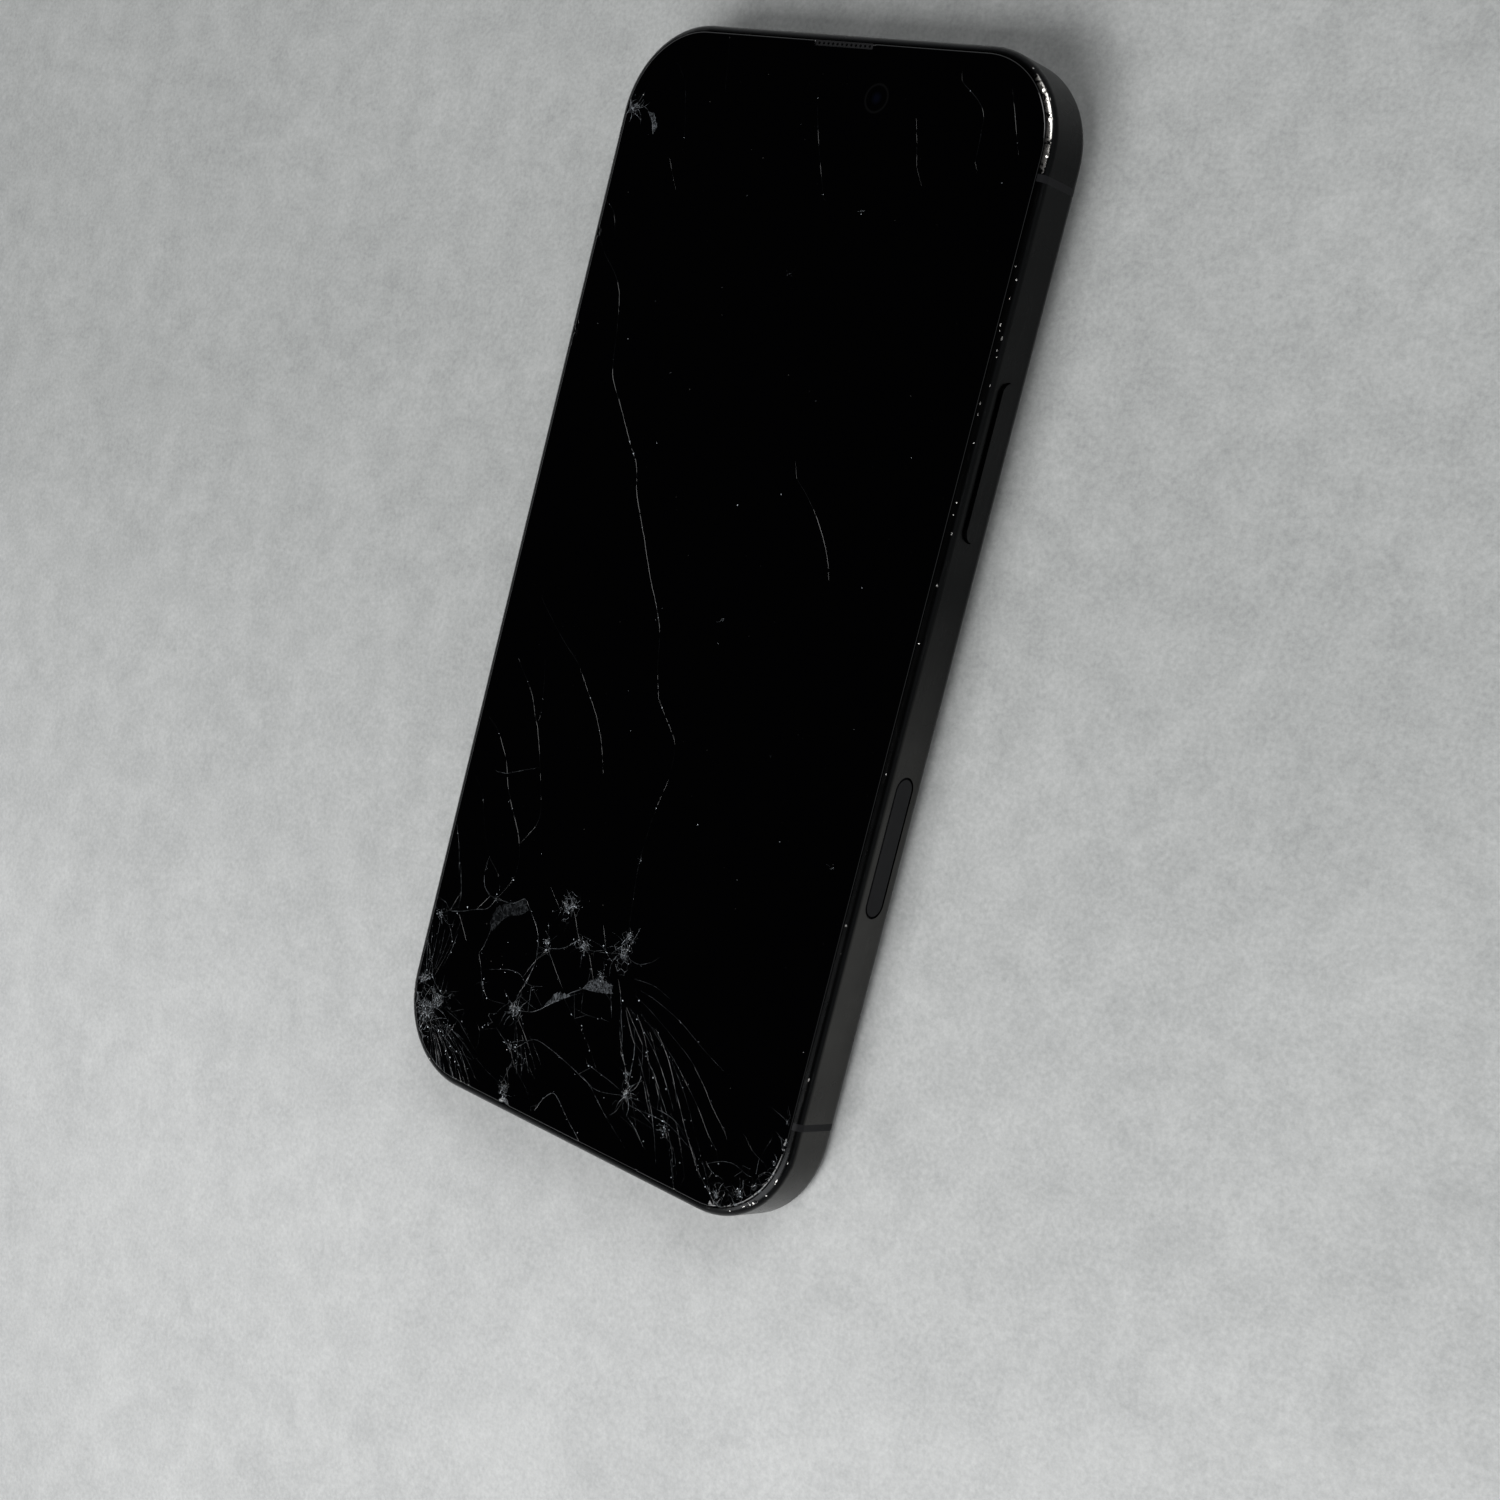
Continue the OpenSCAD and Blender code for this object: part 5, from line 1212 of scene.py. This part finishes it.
def turnedSolid(profile, centre, steps=72):
    # A profile of radius and height that starts and ends on the axis, carried round it
    p = np.asarray(profile, float)
    ends = [(centre[0], centre[1], p[i, 1]) for i in (0, -1)]
    return capped(turnedRows(p[1:-1], centre, steps), len(p) - 2, steps, *ends)


def turnedRing(profile, centre, steps=72):
    # A closed profile of radius and height carried round the axis
    p = np.asarray(profile, float)
    faces = gridFaces(len(p) + 1, steps, True) % (len(p) * steps)
    return turnedRows(p, centre, steps), faces


def finishOf(name):
    # The finish that a piece of the model wears
    return nodes[name].data.materials[0]


def makeLenses():
    # For each rear camera: a stepped baffle down its cone, and a domed front element at the bottom
    dome = [(0, 1.62), (0.3, 1.63), (0.6, 1.67), (0.9, 1.74), (1.15, 1.83), (1.35, 1.94),
            (1.48, 2.05), (1.53, 2.12), (1.53, 2.6), (0, 2.6)]
    stairs = [(-0.78, 1.23), (-2.45, 2.07), (-2.75, 2.07), (-2.75, 1.9), (-2.3, 1.9), (-2.3, 1.68),
              (-1.85, 1.68), (-1.85, 1.46), (-1.4, 1.46), (-1.4, 1.3), (-0.95, 1.3), (-0.95, 1.23)]
    lensFinish = coatedLens()
    for node, barrel, label in (("wide_camera", 4.9, "wide"), ("ultrawide_camera", 4.6, "ultrawide")):
        centre = sum(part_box(node), Vector()) / 2 / mm
        points, faces = turnedSolid(dome, centre)
        meshPiece(label + "Lens", points * mm, faces, lensFinish, "phone", smooth=True)
        points, faces = turnedRing([(barrel + r, z) for r, z in stairs], centre)
        meshPiece(label + "Baffle", points * mm, faces, finishOf(node), "phone")


def makeFlashRidges():
    # Saw-toothed rings on the underside of the flash lens
    low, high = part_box("flash_lens")
    centre = (low + high) / 2 / mm
    radius = np.linspace(0, 2.45, 57)
    height = low.z / mm - 0.005 - 0.035 * (1 - (radius / 0.35) % 1)
    lid = low.z / mm + 0.02
    profile = np.vstack([np.stack([radius, height], 1), [(2.45, lid), (0, lid)]])
    points, faces = turnedSolid(profile, centre, 48)
    meshPiece("flashRidges", points * mm, faces, finishOf("flash_lens"), "phone")


def makeContacts():
    # Twelve gold pads on each face of the socket's tongue; each is a ball pressed towards a block
    low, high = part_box("charge_port")
    shape, faces = ball(5, 12)
    shape = np.sign(shape) * np.abs(shape) ** 0.4
    across = (np.arange(12) - 5.5) * 0.5
    level, half = 6.3, 0.35
    centres = np.array([(x, low.y / mm + 2.45, level + side * half) for side in (-1, 1) for x in across])
    frames = np.broadcast_to(np.diag([0.13, 1.3, 0.022]), (len(centres), 3, 3))
    points, faces = copies(shape, faces, centres, frames)
    meshPiece("socketContacts", points * mm, faces, finishOf("microphones"), "phone", smooth=True)


def makeNicks():
    # Bright burrs in the rounded front edge: flattened balls sunk in the coating, first those
    # along the two sides, then round the corners by their bearing
    values = {"right": (48, 46.5, 44.2, 41, 40.3, 39.5, 38, 37.2, 33.8, 31.5, 30.2, 26.8, 19.5, 18, 15.8,
                        9.4, 2.2, -14, -33, -52.5),
              "left": (60.5, 31.5, -41, -55), "half": 34.6, "level": 8.85, "round": 1.2,
              "bearing": (56, 33, 21, 14, -9, -22, -34, -47, -52, -63, -118, -152),
              "corner": (23.3, 61.3, 11.3), "length": (0.07, 0.30), "width": (0.05, 0.12), "proud": 0.02,
              "jitter": 0.008, "dark": (0.30, 0.29, 0.28), "light": (0.60, 0.59, 0.57)}
    shape, faces = ball(4, 9)
    straight = np.array(values["right"] + values["left"], float)
    side = np.where(np.arange(len(straight)) < len(values["right"]), 1.0, -1.0)
    bearing = np.radians(values["bearing"])
    turn = waysAt(bearing)
    cx, cy, reach = values["corner"]
    flatOut = np.vstack([np.stack([side, 0 * side], 1), turn])
    corners = turn * reach + np.sign(turn) * (cx, cy)
    xy = np.vstack([np.stack([side * values["half"], straight], 1), corners])
    lift = np.radians(rng.uniform(38, 72, len(xy)))[:, None]
    out = np.hstack([flatOut * np.cos(lift), np.sin(lift)])
    across = np.hstack([-flatOut * np.sin(lift), np.cos(lift)])
    centres = np.column_stack([xy, np.full(len(xy), values["level"])]) + out * values["round"]
    long = rng.uniform(*values["length"], len(xy))[:, None]
    wide = rng.uniform(*values["width"], len(xy))[:, None]
    frames = np.stack([across * wide, np.cross(out, across) * long, out * values["proud"]], 1)
    points, faces = copies(shape, faces, centres, frames)
    points += rng.normal(0, values["jitter"], points.shape)
    burr = surfaceFinish("bareBurr", values["dark"], values["light"], **smallMetal)
    recalculated(meshPiece("edgeBurrs", points * mm, faces, burr, "phone"))


def makeCrumbs():
    # Splinters of glass in and round the crushed places, each a jittered eight-sided lump
    values = {"count": 200, "length": (0.03, 0.11), "sunk": (-0.10, 0.015), "proud": 0.08,
              "jitter": 0.012, "tint": (0.42, 0.46, 0.50, 1)}
    shape, faces = ball(1, 4)
    count = values["count"]
    places = [(c, core) for c, core in crushed if core > 0.3] + [(c, r * 1.1) for c, r in chips]
    pick = rng.integers(0, len(places), count)
    middle = np.array([c for c, _ in places])[pick]
    reach = np.array([core for _, core in places])[pick]
    xy = middle + rng.normal(0, 1, (count, 2)) * (reach * 0.9)[:, None]
    xy = xy[outlineGap(xy[:, 0], xy[:, 1], 0.5) < 0]
    count = len(xy)
    centres = np.column_stack([xy, glassSize["top"] + rng.uniform(*values["sunk"], count)])
    turned, _ = np.linalg.qr(rng.normal(0, 1, (count, 3, 3)))
    length = rng.uniform(*values["length"], (count, 1)) * rng.uniform(0.3, 1.0, (count, 3))
    points, faces = copies(shape, faces, centres, turned * length[:, :, None])
    points += rng.normal(0, values["jitter"], points.shape)
    points[:, 2] = np.minimum(points[:, 2], glassSize["top"] + values["proud"])
    sockets = {"IOR": 1.5, "Transmission Weight": 0.35}
    crumb = clearFinish("crumbledGlass", values["tint"], (0.10, 0.30), sockets)
    recalculated(meshPiece("glassCrumbs", points * mm, faces, crumb, "phone"))


def recalculated(piece):
    # Turns every face outwards
    work = bmesh.new()
    work.from_mesh(piece.data)
    bmesh.ops.recalc_face_normals(work, faces=work.faces)
    work.to_mesh(piece.data)
    work.free()


makeLenses()
makeFlashRidges()
makeContacts()
makeNicks()
makeCrumbs()
print("small pieces made")


# Floor, light and camera

studio = {
    "floorHalf": 0.9, "tilt": 1.207, "restY": 41.5 * mm, "gap": 0.03 * mm,
    "floorDark": (0.430, 0.438, 0.438, 1), "floorLight": (0.590, 0.598, 0.594, 1),
    # The far floor tones are painted shade: darker, standing in for the key light falling off
    "shadedFarDark": (0.255, 0.265, 0.260, 1), "shadedFarLight": (0.395, 0.405, 0.400, 1),
    "keyAt": (0.06, -0.88, 1.04), "keySize": (1.15, 0.95), "keyPower": 22.5,
    "fillAt": (0.62, 0.90, 0.76), "fillSize": (0.8, 0.6), "fillPower": 7.0,
    "skyLow": 0.21, "skyHigh": 0.59,
    "skyPale": (0.52, 0.535, 0.55, 1), "skyDark": (0.005, 0.005, 0.0055, 1),
    "eye": (204.2, 10.9, 241.1), "look": (-0.6333, -0.0908, -0.7685), "up": (-0.2447, 0.9656, 0.0876),
    "lens": 57.3,
}


def makeFloor():
    # Plane whose height falls with Y, so that the lens rings and the lower rear edge both touch it
    half, slope = studio["floorHalf"], math.tan(math.radians(studio["tilt"]))
    u, v = np.meshgrid(np.linspace(-half, half, 61), np.linspace(-half, half, 61))
    z = -slope * (v - studio["restY"]) - studio["gap"]
    points = np.stack([u, v, z], 2).reshape(-1, 3)
    made, tree = newMaterial("paleFloor", {"Roughness": 0.85, "Specular IOR Level": 0.25})
    broad = tree.times(tree.noise(28, 2.0, 0.5), 0.15)
    blotch = tree.times(tree.noise(170, 4.0, 0.62), 0.30)
    fibre = tree.times(tree.noise(1500, 5.0, 0.72), 0.55)
    tone = tree.spread(tree.plus(tree.plus(broad, blotch), fibre), 0.36, 0.64)
    near = tree.blend(tone, studio["floorDark"], studio["floorLight"])
    far = tree.blend(tone, studio["shadedFarDark"], studio["shadedFarLight"])
    # Painted shade: the floor colour darkens towards +Y, standing in for the key light falling off
    along = tree.spread(tree.part("Y"), -100 * mm, 10 * mm, 0, 0.68)
    tree.feed({"Base Color": tree.blend(along, near, far)})
    tree.raised(tree.noise(900, 3.0, 0.6), 0.05 * mm, 0.3)
    floor = meshPiece("floor", points, gridFaces(61, 61, False), made, "", smooth=True)
    return floor


def makeLight(name, at, size, power):
    # Rectangle of light that faces the middle of the scene
    lamp = bpy.data.lights.new(name, "AREA")
    lamp.shape, lamp.size, lamp.size_y, lamp.energy = "RECTANGLE", size[0], size[1], power
    holder = bpy.data.objects.new(name, lamp)
    holder.location = at
    holder.rotation_mode = "QUATERNION"
    holder.rotation_quaternion = Vector(at).to_track_quat("Z", "Y")
    bpy.context.scene.collection.objects.link(holder)


def makeSky():
    # Pale near the horizon and dark overhead, by the height of the direction
    sky = bpy.data.worlds.new("sky")
    sky.use_nodes = True
    tree = ShaderTree(sky.node_tree, sky.node_tree.nodes["Background"])
    height = tree.node("SeparateXYZ", {0: tree.node("TexCoord")["Generated"]})["Z"]
    share = tree.spread(height, studio["skyLow"], studio["skyHigh"])
    tree.feed({"Color": tree.blend(share, studio["skyPale"], studio["skyDark"])})
    bpy.context.scene.world = sky


def makeCamera():
    # Turned by its look and up, so that right, up and back are the camera's three axes
    lens = bpy.data.cameras.new("camera")
    lens.lens, lens.sensor_width, lens.clip_start, lens.clip_end = studio["lens"], 36.0, 0.005, 20.0
    look, up = Vector(studio["look"]).normalized(), Vector(studio["up"]).normalized()
    right = look.cross(up).normalized()
    turn = Matrix((right, right.cross(look), -look)).transposed()
    holder = bpy.data.objects.new("camera", lens)
    holder.matrix_world = Matrix.Translation(Vector(studio["eye"]) * mm) @ turn.to_4x4()
    bpy.context.scene.collection.objects.link(holder)
    bpy.context.scene.camera = holder


makeFloor()
makeLight("key", studio["keyAt"], studio["keySize"], studio["keyPower"])
makeLight("fill", studio["fillAt"], studio["fillSize"], studio["fillPower"])
makeSky()
makeCamera()
bpy.context.scene.view_settings.view_transform = "Standard"
print("studio set")
